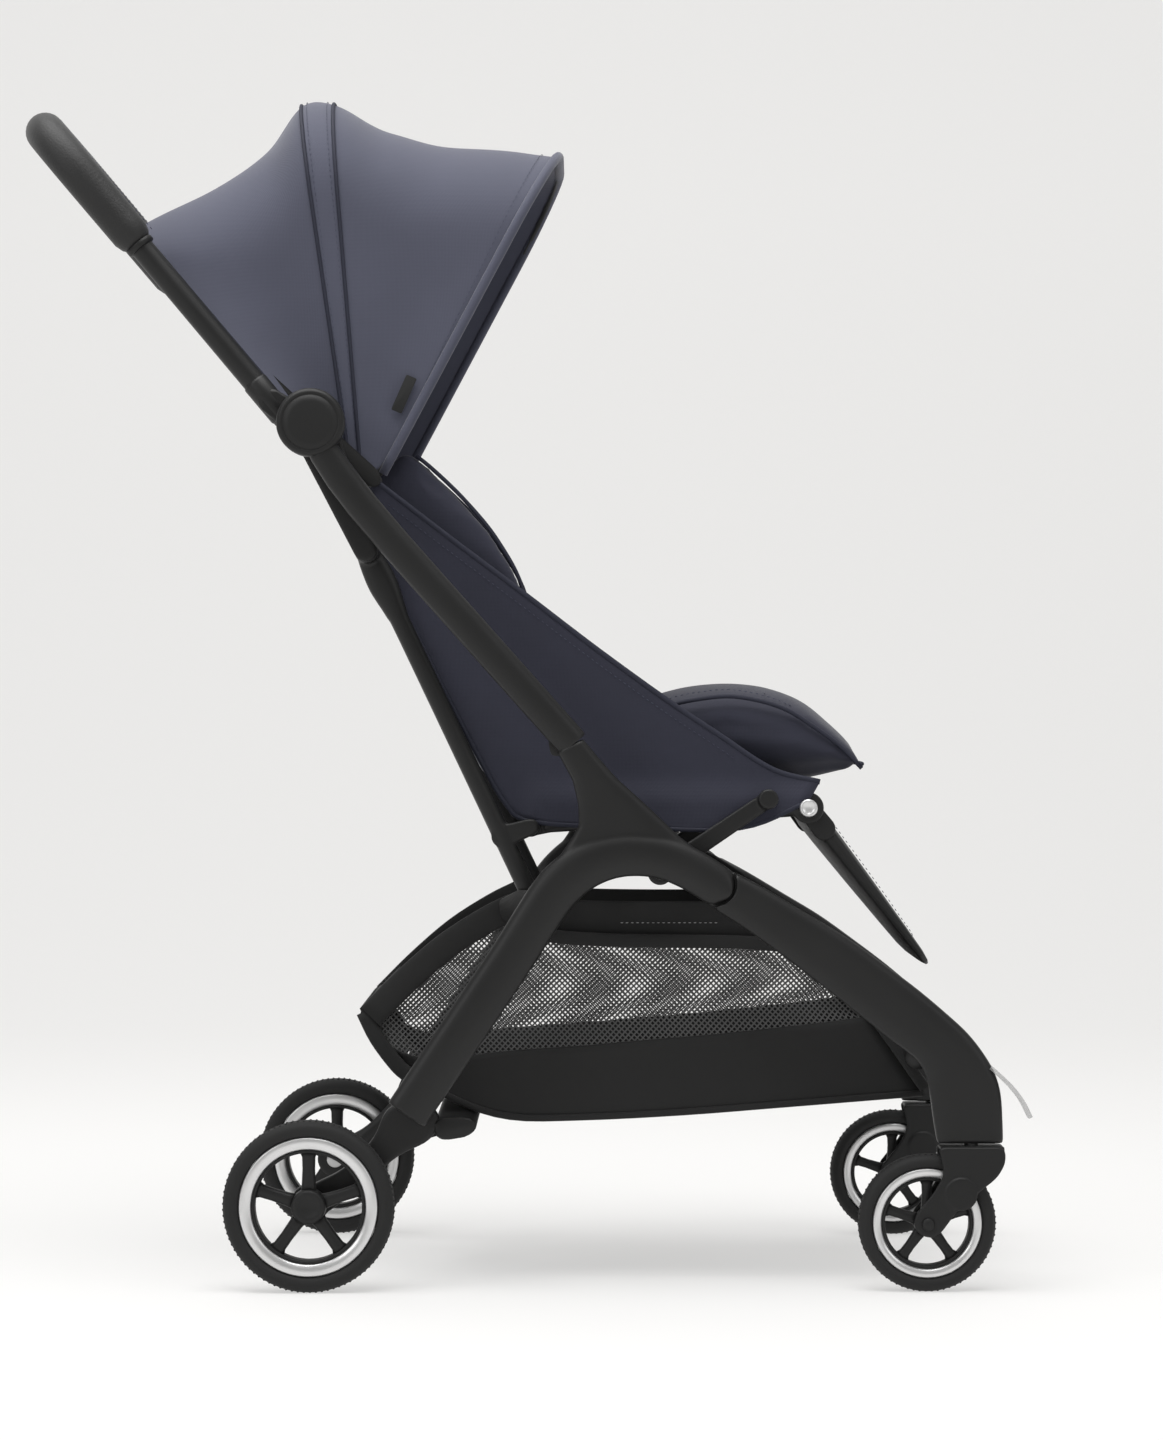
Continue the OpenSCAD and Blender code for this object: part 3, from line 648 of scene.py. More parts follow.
PIPING = material("piping", "weave", 900, (0.014, 0.015, 0.026), (0.024, 0.026, 0.044), (0.62, 0.78), 0.3,
                  0.2)
BLACKCLOTH = material("basket_cloth", "weave", 500, grey(0.009), grey(0.018), (0.74, 0.9), 0.35, 0.3,
                      sheen=0.1, wrinkle=0.12)
NET = material("basket_net", "weave", 98, grey(0.05), grey(0.11), (0.6, 0.8), 0.3, 0.3, holes=True)
WEBBING = material("webbing", "weave", 650, grey(0.010), grey(0.022), (0.6, 0.8), 0.4, 0.3)
THREAD = material("thread", "grain", 1800, (0.03, 0.032, 0.055), (0.06, 0.065, 0.10), (0.6, 0.75), 0.2,
                  0.1)
PALETHREAD = material("pale_thread", "grain", 1800, grey(0.25), grey(0.36), (0.6, 0.75), 0.2, 0.1)
BOWPLASTIC = material("bow_plastic", "grain", 1400, grey(0.030), grey(0.05), (0.35, 0.5), 0.15, 0.1)
CLEAR = material("clear_strap", "grain", 800, grey(0.35), grey(0.5), (0.25, 0.4), 0.1, 0.1, opacity=0.45)
print(len(bpy.data.materials), "materials")


def dress(obj, mat, body=None):
    """Material, material slot and body of one finished piece."""
    if mat is not None:
        obj.data.materials.clear()
        obj.data.materials.append(mat)
    if body:
        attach(obj, body)
    return obj


def both(obj, mat, slot, body, *nodes):
    """The left piece and its mirror. body and nodes name the left ones, with {} for the side."""
    other = mirror(obj, obj.name.replace("left", "right"))
    for piece, side in ((obj, "left"), (other, "right")):
        dress(piece, mat, body.format(side))
        if nodes:
            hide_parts(*[n.format(side) for n in nodes])
    return obj, other


# %% [markdown]
# ## Layers across the stroller
# The CAD boxes give the layer of each side piece, so the finished surfaces stay in their lanes.

# %%
leg_low, leg_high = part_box("rear_leg_left")
LEG_IN, LEG_OUT = leg_low.y / MM, leg_high.y / MM
LEG_Y = (LEG_IN + LEG_OUT) / 2
STRUT_Y = sum(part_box("lower_strut_left")[k].y for k in (0, 1)) / 2 / MM
HANDLE_Y = 181.5
RAIL_Y = 150.0
REAR_WHEEL_Y = sum(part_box("rear_tyre_left")[k].y for k in (0, 1)) / 2 / MM
print("leg layer", LEG_IN, LEG_OUT, "strut", STRUT_Y, "rear wheel", REAR_WHEEL_Y)

# %% [markdown]
# ## Rear frame: the arched casting
# One casting runs from the rear wheel bracket up the oval leg, over the arch and down to the front leg.
# A web rises from the arch to the seam of the upper tube. Both are melted together.

# %%
web_rows = [((38.5, 472), (61.5, 483.5)), ((45, 460), (75, 467)), ((52, 447), (91, 449)),
            ((57, 426), (111, 431)), ((57.5, 408), (124, 419)), ((52, 398), (146, 398)),
            ((40, 380), (166, 383)), ((34, 366), (160, 366))]


def web_ring(p, q, half):
    mid = mix(p, q, 0.5)
    a = hypot(q[0] - p[0], q[1] - p[1]) / 2
    t = radians(direction(p, q))
    return oval((mid[0], LEG_Y, mid[1]), (cos(t), 0, sin(t)), (0, 1, 0), a, half, 32, 3.4)


arch = sweep("arch", [(-93.6, 154, 19.5, 10), (-60, 204, 19.8, 10), (-24, 257.5, 20, 10.2),
                      (0.4, 294, 20, 10.4), (20, 325, 20.2, 10.6), (38, 351, 20.6, 10.8), (60, 370, 20.5,
                                                                                           10.8),
                      (84, 380, 20, 10.8), (108, 382.5, 19.5, 10.8), (132, 379, 19, 10.8),
                      (155, 369.5, 18.6, 10.6),
                      (176.3, 356.6, 18.4, 10.4)]
             + [(*polar(FRONT, -34, d), sqrt(18.4 ** 2 - d * d),
                 10.3 - d * 0.05) for d in (7, 12, 15.5, 17.6, 18.3)],
             LEG_Y + 0.4, power=2.3)
web = loft("web", [web_ring(p, q, h) for (p, q), h in zip(web_rows, (9.6, 9.4, 9.0, 8.4, 7.8, 7.4, 7,
                                                                     7))])
lap = slab("lap_cut", arc(FRONT, 25, 0, 340, 24), LEG_IN - 3, LEG_IN + 10, rim=0.1)
casting = cast("hub_casting_left", [arch, web], voxel=1.7, relax=7)
cut(casting, lap)
both(casting, PAINT, "frame_black", "rear_frame", "hub_{}", "rear_leg_{}")
pins = join("hub_pins_left", [
    lathe("pin_a", FOOT, [(0, 157), (4.4, 157), (5, 158), (5, LEG_IN + 1), (0, LEG_IN + 1)], 24,
          closed=False),
    lathe("pin_b", ROCK, [(0, 157), (4.4, 157), (5, 158), (5, LEG_IN + 1), (0, LEG_IN + 1)], 24,
          closed=False),
    lathe("pin_c", MAIN, [(0, LEG_IN - 2), (5, LEG_IN - 2), (6, LEG_IN - 1), (6, LEG_IN + 0.5),
                          (0, LEG_IN + 0.5)], 24, closed=False)])
both(pins, STEEL, "steel", "rear_frame")

# %% [markdown]
# Cross bars, wheel brackets and axles complete the rear frame.

# %%
hub_bar = MAIN[0] + 58, MAIN[1] - 99
bar = lathe("hub_crossbar_tube", hub_bar, [(0, -LEG_IN), (9.6, -LEG_IN), (9.6, -LEG_IN + 12),
                                           (8, -LEG_IN + 14),
                                           (8, LEG_IN - 14), (9.6, LEG_IN - 12), (9.6, LEG_IN),
                                           (0, LEG_IN)],
            32, closed=False)
dress(bar, PAINT, "rear_frame")
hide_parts("hub_crossbar")
leg_foot = (-93.6, 154)
cross = leg_foot[0] + 38, leg_foot[1] - 12
cross_outline = rounded([(cross[0] - 13, cross[1] + 8), (cross[0] + 18, cross[1] + 9),
                         (cross[0] + 25, cross[1] + 1), (cross[0] + 17, cross[1] - 8),
                         (cross[0] - 8, cross[1] - 12), (cross[0] - 15, cross[1] - 4)], 7)
cross_piece = slab("rear_crossbar_tube", cross_outline, -LEG_IN, LEG_IN, rim=2.5)
dress(cross_piece, PLASTIC, "rear_frame")
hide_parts("rear_crossbar")
bracket_in = LEG_IN - 16
axle = REAR_AXLE
bracket = cast("bracket_arm", [
    slab("arm", rounded([(-112, 160), (-80, 168), (-62, 150), (-72, 130), (-100, 118), (-140, 84),
                         (-170, 62), (-186, 66), (-184, 88), (-150, 104), (-122, 132)], 12),
         bracket_in, LEG_IN - 0.6, rim=3),
    slab("boss", arc(axle, 17, 0, 355, 40), bracket_in - 1.5, LEG_IN - 0.6, rim=2),
    slab("rib", capsule_outline((-92, 146), (-168, 82), 11, 8), bracket_in - 2.5, bracket_in + 6, rim=2)],
    voxel=1.5, relax=4)
bracket.name = "wheel_bracket_left_cover"
both(bracket, PLASTIC, "plastic_black", "rear_frame", "wheel_bracket_{}")
out = REAR_WHEEL_Y + 13
axle_pin = lathe("rear_axle_left", axle, [
    (0, bracket_in - 5.5), (5, bracket_in - 5.5), (7.6, bracket_in - 4.5), (8, bracket_in - 3.5),
    (8, bracket_in - 1), (5, bracket_in - 0.8), (5, out - 5), (4.2, out - 3.4), (0, out - 3)], 32,
    closed=False)
both(axle_pin, STEEL, "steel", "rear_frame")
for side in ("left", "right"):
    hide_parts("rear_axles")


# %% [markdown]
# ## Wheels
# A wheel is a rounded tyre with tread sipes, a silver ring, and a dark centre with five tapered spokes.

# %%
def wheel(side, end, p, y, r, w, thick, ring_w, hub_r):
    tag = end + "_" + side
    h = w / 2
    profile = [(r - thick, y - h + 4), (r - thick + 2, y - h + 1.2), (r - 6, y - h),
               (r - 2.4, y - h + 2.2),
               (r - 0.6, y - h + 5.5), (r, y - 4.5), (r - 0.9, y - 3.9), (r - 0.9, y - 3.1), (r, y - 2.5),
               (r, y + 2.5), (r - 0.9, y + 3.1), (r - 0.9, y + 3.9), (r, y + 4.5), (r - 0.6, y + h - 5.5),
               (r - 2.4, y + h - 2.2), (r - 6, y + h), (r - thick + 2, y + h - 1.2),
               (r - thick, y + h - 4)]
    tyre = lathe("tyre_" + tag, p, profile, 96)
    sipes = []
    for k in (-1, 1):
        loop = [(p[0] + (r - 0.85) * cos(tau * i / 72), y + k * (h - 6.6),
                 p[1] + (r - 0.85) * sin(tau * i / 72))
                for i in range(73)]
        sipes.append(loop)
    blocks = repeat_along("tread_" + tag, sipes, RUBBER, 5.2, 3.0, 3.4, 1.1)
    tyre.data.materials.append(RUBBER)
    tyre = join("tyre_" + tag, [tyre, blocks])
    ri, ro = r - thick - ring_w, r - thick
    ring = lathe("ring_" + tag, p, [
        (ri, y - h + 4.5), (ri + 1.2, y - h + 2.8), (ro - 1.5, y - h + 1.6), (ro - 0.2, y - h + 2.6),
        (ro - 0.2, y + h - 2.6), (ro - 1.5, y + h - 1.6), (ri + 1.2, y + h - 2.8), (ri, y + h - 4.5)], 96)
    spokes = []
    for i in range(5):
        a = 90 + 72 * i
        t = radians(a)
        u, v = (cos(t + pi / 2), 0, sin(t + pi / 2)), (0, 1, 0)
        wide = 5.6 if end == "rear" else 4.4
        rows = [(hub_r - 3, wide + 1.6, h - 6), (hub_r + 4, wide + 0.6, h - 6.5), ((hub_r + ri) / 2, wide,
                                                                                   h - 7),
                (ri - 7, wide + 0.3, h - 6.5), (ri - 1.5, wide + 3, h - 6)]
        spokes.append(loft("spoke", [oval((p[0] + q * cos(t), y, p[1] + q * sin(t)), u, v, a2, b2, 16,
                                          2.8)
                                     for q, a2, b2 in rows]))
    hub = lathe("hub", p, [(0, y - h + 1.5), (hub_r * 0.55, y - h + 1.5), (hub_r * 0.62, y - h + 0.4),
                           (hub_r - 1.5, y - h + 0.6), (hub_r, y - h + 2.5), (hub_r + 0.6, y),
                           (hub_r, y + h - 2.5),
                           (hub_r - 1.5, y + h - 0.6), (hub_r * 0.62, y + h - 0.4), (hub_r * 0.55,
                                                                                     y + h - 1.5),
                           (0, y + h - 1.5)], 48, closed=False)
    rim = lathe("rim", p, [(ri - 3.2, y - h + 6.5), (ri - 2.6, y - h + 4.6), (ri - 0.1, y - h + 4.2),
                           (ri - 0.1, y + h - 4.2), (ri - 2.6, y + h - 4.6), (ri - 3.2, y + h - 6.5)], 72)
    centre = join("spokes_" + tag, spokes + [hub, rim])
    body = f"{end}_wheel_{side}"
    dress(tyre, RUBBER, body)
    dress(ring, SILVER, body)
    dress(centre, PLASTIC, body)
    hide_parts(f"{end}_tyre_{side}")
    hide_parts(f"{end}_ring_{side}")
    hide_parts(f"{end}_spokes_{side}")


for side, sign in (("left", 1), ("right", -1)):
    wheel(side, "rear", REAR_AXLE, sign * REAR_WHEEL_Y, 75, 26, 14, 11, 15)
    wheel(side, "front", FRONT_AXLE, sign * LEG_Y, 60, 24, 12, 8, 11)

# %% [markdown]
# ## Brake pedal
# A ribbed pad on two arms between the rear wheels.

# %%
brake = pivot["brake_press"]
pad_at = brake[0] - 42, brake[1] - 9
pedal = join("brake_pedal_cover", [
    slab("pad", rounded([(pad_at[0] - 4, pad_at[1] + 3.5), (pad_at[0] + 16, pad_at[1] + 6.5),
                         (brake[0] - 2, brake[1] + 3), (brake[0], brake[1] - 3), (pad_at[0] + 14,
                                                                                  pad_at[1] - 2),
                         (pad_at[0] - 2, pad_at[1] - 4)], 2.5), -37, 37, rim=1.5),
    lathe("shaft", brake, [(0, -60), (3.4, -60), (4, -59.3), (4, 59.3), (3.4, 60), (0, 60)], 24,
          closed=False)])
dress(pedal, PLASTIC, "brake")
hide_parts("brake_pedal")
ribs = repeat_along("brake_ribs", [[(pad_at[0] + 2 + k * 5, -30, pad_at[1] + 4.6 + k * 0.75),
                                    (pad_at[0] + 2 + k * 5, 30,
                                     pad_at[1] + 4.6 + k * 0.75)] for k in range(3)],
                    PLASTIC, 9, 6, 2.4, 1.8)
dress(ribs, None, "brake")

# %% [markdown]
# ## Front legs
# Each leg starts around the arch end, slopes down, and turns the outer bend into the swivel housing.

# %%
leg_rows = [((196, 366), (176, 334)), ((222, 352), (203, 317)), ((258, 330.5), (238, 292)),
            ((292, 310), (272, 266)), ((325.5, 286), (304, 241)), ((356, 263), (328, 222)),
            ((382, 241), (343, 211)), ((399, 225), (352, 204)), ((413, 207), (358, 196)),
            ((422.5, 190), (362, 187)), ((427.5, 172), (365, 172)), ((429, 150), (368, 150)),
            ((429.5, 132), (371, 132)), ((429, 129.5), (371.6, 129.5))]
leg = loft("leg_bar", [web_ring(p, q, 9.9) for p, q in
                       [(r[:2], r[2:]) for r in curve_through([a + b for a, b in leg_rows], 4)]])
knuckle = slab("knuckle", arc(FRONT, 17.6, 0, 350, 36), LEG_IN + 0.2, LEG_IN + 9.6, rim=0.8)
neck = slab("neck", capsule_outline(FRONT, (204, 338), 35, 37), LEG_IN + 0.2, LEG_IN + 9.6, rim=1)
leg = cast("front_leg_cover_left", [leg, neck], voxel=1.8, relax=5)
cut(leg, slab("round_cut", arc(FRONT, 20, 0, 355, 48), LEG_IN + 9.8, LEG_OUT + 5, rim=0.1))
bpy.data.objects.remove(knuckle)
both(leg, PAINT, "frame_black", "front_frame", "front_leg_{}")
front_bar = 368 - 12, 180 + 24
tube = lathe("front_crossbar_tube", front_bar, [(0, -LEG_IN), (11, -LEG_IN), (11, -LEG_IN + 8),
                                                (9, -LEG_IN + 10),
                                                (9, LEG_IN - 10), (11, LEG_IN - 8), (11, LEG_IN),
                                                (0, LEG_IN)],
             32, closed=False)
dress(tube, PAINT, "front_frame")
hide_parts("front_crossbar")
tab_line = curve_through([(418, 196), (428, 187), (437, 178), (446, 166), (453, 152)], 5)
tabs = cloth("leg_tab_left", [[(x, y, z) for y in (195, 198, 202, 206, 210, 213)] for x, z in tab_line],
             3.6)
both(tabs, CLEAR, "bow_plastic", "front_frame")

# %% [markdown]
# ## Caster forks
# A swivel collar, a rounded crown and two arms carry each front wheel.

# %%
fork_top = 128
arm_shape = rounded([(SWIVEL_X - 30, fork_top - 1), (SWIVEL_X + 28, fork_top - 1),
                     (SWIVEL_X + 29, fork_top - 14), (SWIVEL_X + 22, 101), (390, 74), (372, 50),
                     (362, 47.5),
                     (351, 54), (350, 66), (368, 88), (377, 104), (SWIVEL_X - 28, 118)], 7)
pieces = [slab("arm", arm_shape, y0, y1, rim=1.4) for y0, y1 in ((LEG_Y - 18, LEG_Y - 14),
                                                                 (LEG_Y + 14, LEG_Y + 18))]
crown = slab("crown", rounded([(SWIVEL_X - 29, fork_top - 0.5), (SWIVEL_X + 28, fork_top - 0.5),
                               (SWIVEL_X + 28, fork_top - 6), (SWIVEL_X - 26, fork_top - 6)], 2),
             LEG_Y - 15, LEG_Y + 15, rim=1)
bosses = [slab("boss", arc((391.5, 86), 14, 0, 350, 40), y0, y1, rim=1.2)
          for y0, y1 in ((LEG_Y - 19.6, LEG_Y - 15), (LEG_Y + 15, LEG_Y + 19.6))]
fork = cast("fork_cover_left", pieces + bosses + [crown], voxel=1.1, relax=2)
both(fork, PLASTIC, "plastic_black", "caster_{}", "fork_{}")
stem = []
for k in range(25):
    t = tau * k / 24
    stem.append((cos(t), sin(t)))
pin_rows = [(5, 120), (6, 121), (6, 158), (5, 160)]
stem_mesh = loft("fork_stem_left", [[(SWIVEL_X + r * c, LEG_Y + r * s, z) for c, s in stem[:-1]] for r,
                                    z in pin_rows])
both(stem_mesh, STEEL, "steel", "caster_{}")
nut = join("front_axle_left", [
    lathe("bolt", FRONT_AXLE, [(0, LEG_Y - 21.5), (4.6, LEG_Y - 21.5), (5.4, LEG_Y - 20.5),
                               (5.4, LEG_Y - 18),
                               (4, LEG_Y - 17.5), (4, LEG_Y + 17.5), (5.4, LEG_Y + 18),
                               (5.4, LEG_Y + 20.5),
                               (4.6, LEG_Y + 21.5), (0, LEG_Y + 21.5)], 24, closed=False)])
both(nut, PLASTIC, "plastic_black", "caster_{}")

# %% [markdown]
# ## Upper tubes and elbow housings
# The oval upper tubes leave the casting at a thin seam and end in the round elbow housings.

# %%
TUBE_DIR = 131.7
seam = MAIN[0] + 14.6, MAIN[1] + 0.3
tube_start = polar(seam, TUBE_DIR, 1.4)
bar_rows = [(0, 0, 12.8, 8.6), (0.8, 0, 13.8, 9.2), (3, 0, 14.2, 9.5), (60, 0, 14.2, 9.5), (120, 0, 14.2,
                                                                                            9.5),
            (180, 0, 14.2, 9.5), (240, 0.2, 14.2, 9.5), (280, 1.2, 14.2, 9.5), (310, 3.5, 14.2, 9.5),
            (335, 7.0, 13.6, 9.4), (352, 10.5, 12.6, 9.2)]
upper = sweep("upper_tube_cover_left", [(*polar(polar(tube_start, TUBE_DIR, d), TUBE_DIR - 90, o), a, b)
                                        for d, o, a, b in bar_rows], LEG_Y, power=2.4, steps=1)
root = slab("root", rounded([polar(seam, TUBE_DIR, 2), (MAIN[0] - 9, MAIN[1] + 6),
                             (MAIN[0] - 6, MAIN[1] - 9),
                             (MAIN[0] + 9, MAIN[1] - 8), (MAIN[0] + 22, MAIN[1] + 6)], 5),
            LEG_IN + 1.6, LEG_Y - 0.6, rim=0.6)
upper = join("upper_tube_cover_left", [upper, root])
both(upper, PAINT, "frame_black", "upper_frame", "upper_tube_{}")
housing = lathe("elbow_cover_left", ELBOW, [
    (0, LEG_IN - 15), (5.6, LEG_IN - 15), (6, LEG_IN - 14), (6, LEG_IN + 0.2), (26, LEG_IN + 0.2),
    (29, LEG_IN + 1.4),
    (30, LEG_IN + 4), (30, LEG_OUT - 4), (29.3, LEG_OUT - 1.4), (27.4, LEG_OUT + 0.6),
    (25.2, LEG_OUT + 1.2),
    (24.6, LEG_OUT + 0.6), (23.8, LEG_OUT + 0.6), (23.2, LEG_OUT + 1.6), (18, LEG_OUT + 2.2),
    (8, LEG_OUT + 2.5),
    (0, LEG_OUT + 2.5)], 72, closed=False)
both(housing, PLASTIC, "plastic_black", "upper_frame", "elbow_housing_{}")

# %% [markdown]
# ## Handle
# A bent tube carries a padded leatherette grip with a stitched inner seam. The elbow plates, canopy
# mounts and the release housing ride with it.

# %%
FOOT_OF_HANDLE = polar(ELBOW, 220, 15)
HANDLE_ANGLE, HANDLE_LEN, GRIP_LEN, BEND = 130, 359, 138, 60
up = (cos(radians(HANDLE_ANGLE)), sin(radians(HANDLE_ANGLE)))
over = (up[1], -up[0])


def on_handle(along, y=0.0, off=0.0):
    return (FOOT_OF_HANDLE[0] + up[0] * along + over[0] * off, y,
            FOOT_OF_HANDLE[1] + up[1] * along + over[1] * off)


def handle_line(start):
    """Centre line of the bent tube from one side to the other, starting that far up each side."""
    half, run = HANDLE_Y - BEND, HANDLE_LEN - BEND
    pts = [(run * k / 40, HANDLE_Y) for k in range(40) if run * k / 40 >= start]
    pts = [(start, HANDLE_Y)] + pts
    pts += [(run + BEND * sin(t), half + BEND * cos(t)) for t in [pi / 2 * k / 12 for k in range(13)]]
    pts += [(a, y) for a, y in [(HANDLE_LEN, half * (1 - k / 10)) for k in range(1, 11)]]
    mirrored = [(a, -y) for a, y in pts[::-1]][1:]
    return pts + mirrored


bar_line = handle_line(20)
handlebar = pipe("handlebar_tube", [on_handle(a, y) for a, y in bar_line], 10.5, 24)
sleeves = [pipe("sleeve", [on_handle(a, s * HANDLE_Y) for a in (22, 24, 60, 62)], [10.6, 11.6, 11.6,
                                                                                   10.6], 24)
           for s in (-1, 1)]
handlebar = join("handlebar_tube", [handlebar] + sleeves)
dress(handlebar, PAINT, "handle")
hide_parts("handlebar")
grip_line = handle_line(HANDLE_LEN - GRIP_LEN)
spread = []
travelled = 0.0
for i, (a, y) in enumerate(grip_line):
    if i:
        travelled += hypot(a - grip_line[i - 1][0], y - grip_line[i - 1][1])
    spread.append(travelled)
total = spread[-1]
grip_r = [piecewise([(0, 12.2), (2.5, 14.4), (9, 17.0), (total / 2, 17.5), (total - 9, 17.0),
                     (total - 2.5, 14.4),
                     (total, 12.2)], s) for s in spread]
grip = pipe("grip_cover", [on_handle(a, y) for a, y in grip_line], grip_r, 28)
dress(grip, GRIP, "handle")
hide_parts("grip")
seam_path = [on_handle(a, y, 17.4) for a, y in grip_line[1:-1]]
grip_seam = repeat_along("grip_stitches", [seam_path], THREAD, 5.0, 3.2, 1.0, 1.0)
dress(grip_seam, None, "handle")
ends = [pipe("ring", [on_handle(HANDLE_LEN - GRIP_LEN - d, s * HANDLE_Y) for d in (0, 1, 5, 6)],
             [12.4, 13.2, 13.2, 11.5], 28)
        for s in (-1, 1)]
collars = join("grip_collars", ends)
dress(collars, PLASTIC, "handle")
plate_out = LEG_IN - 1
strut_top = (-129.9, 649.4)
plate_piece = cast("elbow_plate_cover_left", [
    lathe("disc", ELBOW, [(0, plate_out - 15), (26, plate_out - 15), (27.6, plate_out - 13.5),
                          (28, plate_out - 10),
                          (28, plate_out - 1), (27.2, plate_out - 0.2), (0, plate_out - 0.2)], 48,
                          closed=False),
    slab("lug", capsule_outline(ELBOW, strut_top, 40, 21), plate_out - 6, plate_out - 0.2, rim=1.2),
    slab("root", capsule_outline(polar(ELBOW, 180, 8), on_handle(40)[::2], 30, 22), plate_out - 13,
         plate_out - 1,
         rim=4)], voxel=1.6, relax=5)
both(plate_piece, PLASTIC, "plastic_black", "handle", "elbow_plate_{}")
rivet = lathe("strut_rivet_left", strut_top, [(0, plate_out - 8), (4, plate_out - 8),
                                              (5, plate_out - 7.2),
                                              (5, plate_out - 5), (0, plate_out - 5)], 24, closed=False)
both(rivet, STEEL, "steel", "handle")
mount_out = 157.0
mount = slab("canopy_mount_left", rounded([on_handle(96)[::2], on_handle(82, 0, -7)[::2],
                                           polar(BOW, 230, 9),
                                           polar(BOW, 320, 9), polar(BOW, 50, 9),
                                           on_handle(92, 0, 12)[::2]], 6),
             mount_out - 5, mount_out, rim=1.2)
stub = lathe("stub", on_handle(90)[::2], [(0, mount_out - 1), (6.4, mount_out - 1), (7, mount_out),
                                          (7, HANDLE_Y - 7), (0, HANDLE_Y - 7)], 24, closed=False)
pin = lathe("pin", BOW, [(0, 131), (2.6, 131), (3, 131.6), (3, mount_out - 4), (0, mount_out - 4)], 20,
            closed=False)
mount = join("canopy_mount_left", [mount, stub, pin])
both(mount, PLASTIC, "plastic_black", "handle")
for side in ("left", "right"):
    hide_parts("canopy_mounts")


def turned_box(name, along0, along1, half_y, off0, off1, rim=2.0):
    outline = [on_handle(a, 0, o)[::2] for a, o in ((along0, off0), (along1, off0), (along1, off1),
                                                    (along0, off1))]
    return slab(name, rounded(outline, 3), -half_y, half_y, rim)


release = turned_box("release_cover", HANDLE_LEN - 37, HANDLE_LEN - 15, 22, -10, 13, 3)
dress(release, PLASTIC, "handle")
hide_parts("release_housing")
knob = turned_box("release_button", HANDLE_LEN - 38, HANDLE_LEN - 32, 12, -4, 8, 1.0)
dress(knob, STEEL, "button")
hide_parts("fold_button")

# %% [markdown]
# ## Lower struts, rails, rockers and leg rest
# Round tubes with moulded ends: the strut has a broad shoulder at its top, and the rail carries the seat.

# %%
strut_angle = direction(FOOT, strut_top)
strut_len = hypot(strut_top[0] - FOOT[0], strut_top[1] - FOOT[1])
strut_line = [(0, 8.2, 8), (6, 8.5, 8.2), (40, 8.5, 8.4), (strut_len - 90, 8.5, 8.4), (strut_len - 62,
                                                                                       9.5, 8.4),
              (strut_len - 34, 13.2, 8.2), (strut_len - 14, 12.4, 7.8), (strut_len, 10.5, 7.2)]
strut = sweep("strut_bar", [(*polar(FOOT, strut_angle, d), a, b) for d, a, b in strut_line], STRUT_Y,
              power=2.3, steps=3)
ends = [lathe("end", p, [(0, 159), (r - 1, 159), (r, 160), (r, 173), (r - 1, 174), (0, 174)], 32,
              closed=False)
        for p, r in ((FOOT, 11), (strut_top, 11))]
lug = slab("lug", capsule_outline(polar(FOOT, strut_angle, 78), SEAT, 20, 15), 159.2, 166, rim=1)
strut = cast("strut_cover_left", [strut, lug] + ends, voxel=1.5, relax=4)
both(strut, PAINT, "frame_black", "lower_struts", "lower_strut_{}")
seat_pin = lathe("seat_pin_left", SEAT, [(0, 142.5), (4, 142.5), (4, 160), (0, 160)], 20, closed=False)
both(seat_pin, STEEL, "steel", "lower_struts")

SLOPE = 6.7


def on_seat(u, v):
    return polar(polar(SEAT, SLOPE, u), SLOPE + 90, v)


rail = pipe("rail_bar", [(p[0], RAIL_Y, p[1]) for p in (polar(SEAT, SLOPE, 12), mix(SEAT, LEG, 0.5),
                                                        LEG)], 7, 20)
eyes = [slab("eye", arc(p, r, 0, 350, 36), RAIL_Y - 4, RAIL_Y + 6, rim=1.2) for p,
        r in ((SEAT, 9), (LEG, 14))]
neck = slab("neck", capsule_outline(SEAT, polar(SEAT, SLOPE, 24), 17, 13), RAIL_Y - 3.6, RAIL_Y + 3.6,
            rim=1)
rail = cast("seat_rail_cover_left", [rail, neck] + eyes, voxel=1.3, relax=3)
both(rail, PAINT, "frame_black", "seat", "seat_rail_{}")
front_eye = on_seat(212, 0)
rods = [lathe("rod", polar(polar(p, a, d), SLOPE - 90, 1), [(0, -143), (5, -143), (5, 143), (0, 143)], 24,
              closed=False)
        for p, a, d in ((LEG, SLOPE + 180, 34), (SEAT, SLOPE, 40))]
rods = join("seat_rods", rods)
dress(rods, PAINT, "seat")
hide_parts("seat_crossbars")
pan = slab("seat_board", rounded([on_seat(30, 6), on_seat(250, 6), on_seat(250, 10), on_seat(30, 10)],
                                 1.6), -140, 140, 1.2)
dress(pan, PLASTIC, "seat")
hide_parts("seat_pan")
rocker = slab("rocker_bar", capsule_outline(ROCK, front_eye, 17, 15), 160, 167, rim=1.6)
rocker = cast("rocker_cover_left", [rocker, slab("eye", arc(ROCK, 11, 0, 350, 30), 159.4, 173, rim=1.4),
                                    slab("eye", arc(front_eye, 9, 0, 350, 30), 160, 171, rim=1.4)], 1.3,
                                    4)
both(rocker, PAINT, "frame_black", "rockers", "seat_rocker_{}")
LEG_DIR = -52.2
board_rows = []
for d, depth, half in ((8, 8, 139), (20, 9.6, 141), (40, 9.4, 141), (90, 7.8, 139), (140, 5.8, 136),
                       (165, 4.6, 131), (175, 3.2, 122), (178, 1.6, 114)):
    c = polar(LEG, LEG_DIR, d)
    board_rows.append(oval((c[0], 0, c[1]), (-sin(radians(LEG_DIR)), 0, cos(radians(LEG_DIR))), (0, 1, 0),
                           depth, half,
                           56, 5.0))
board = loft("leg_rest_cover", board_rows)
ears = []
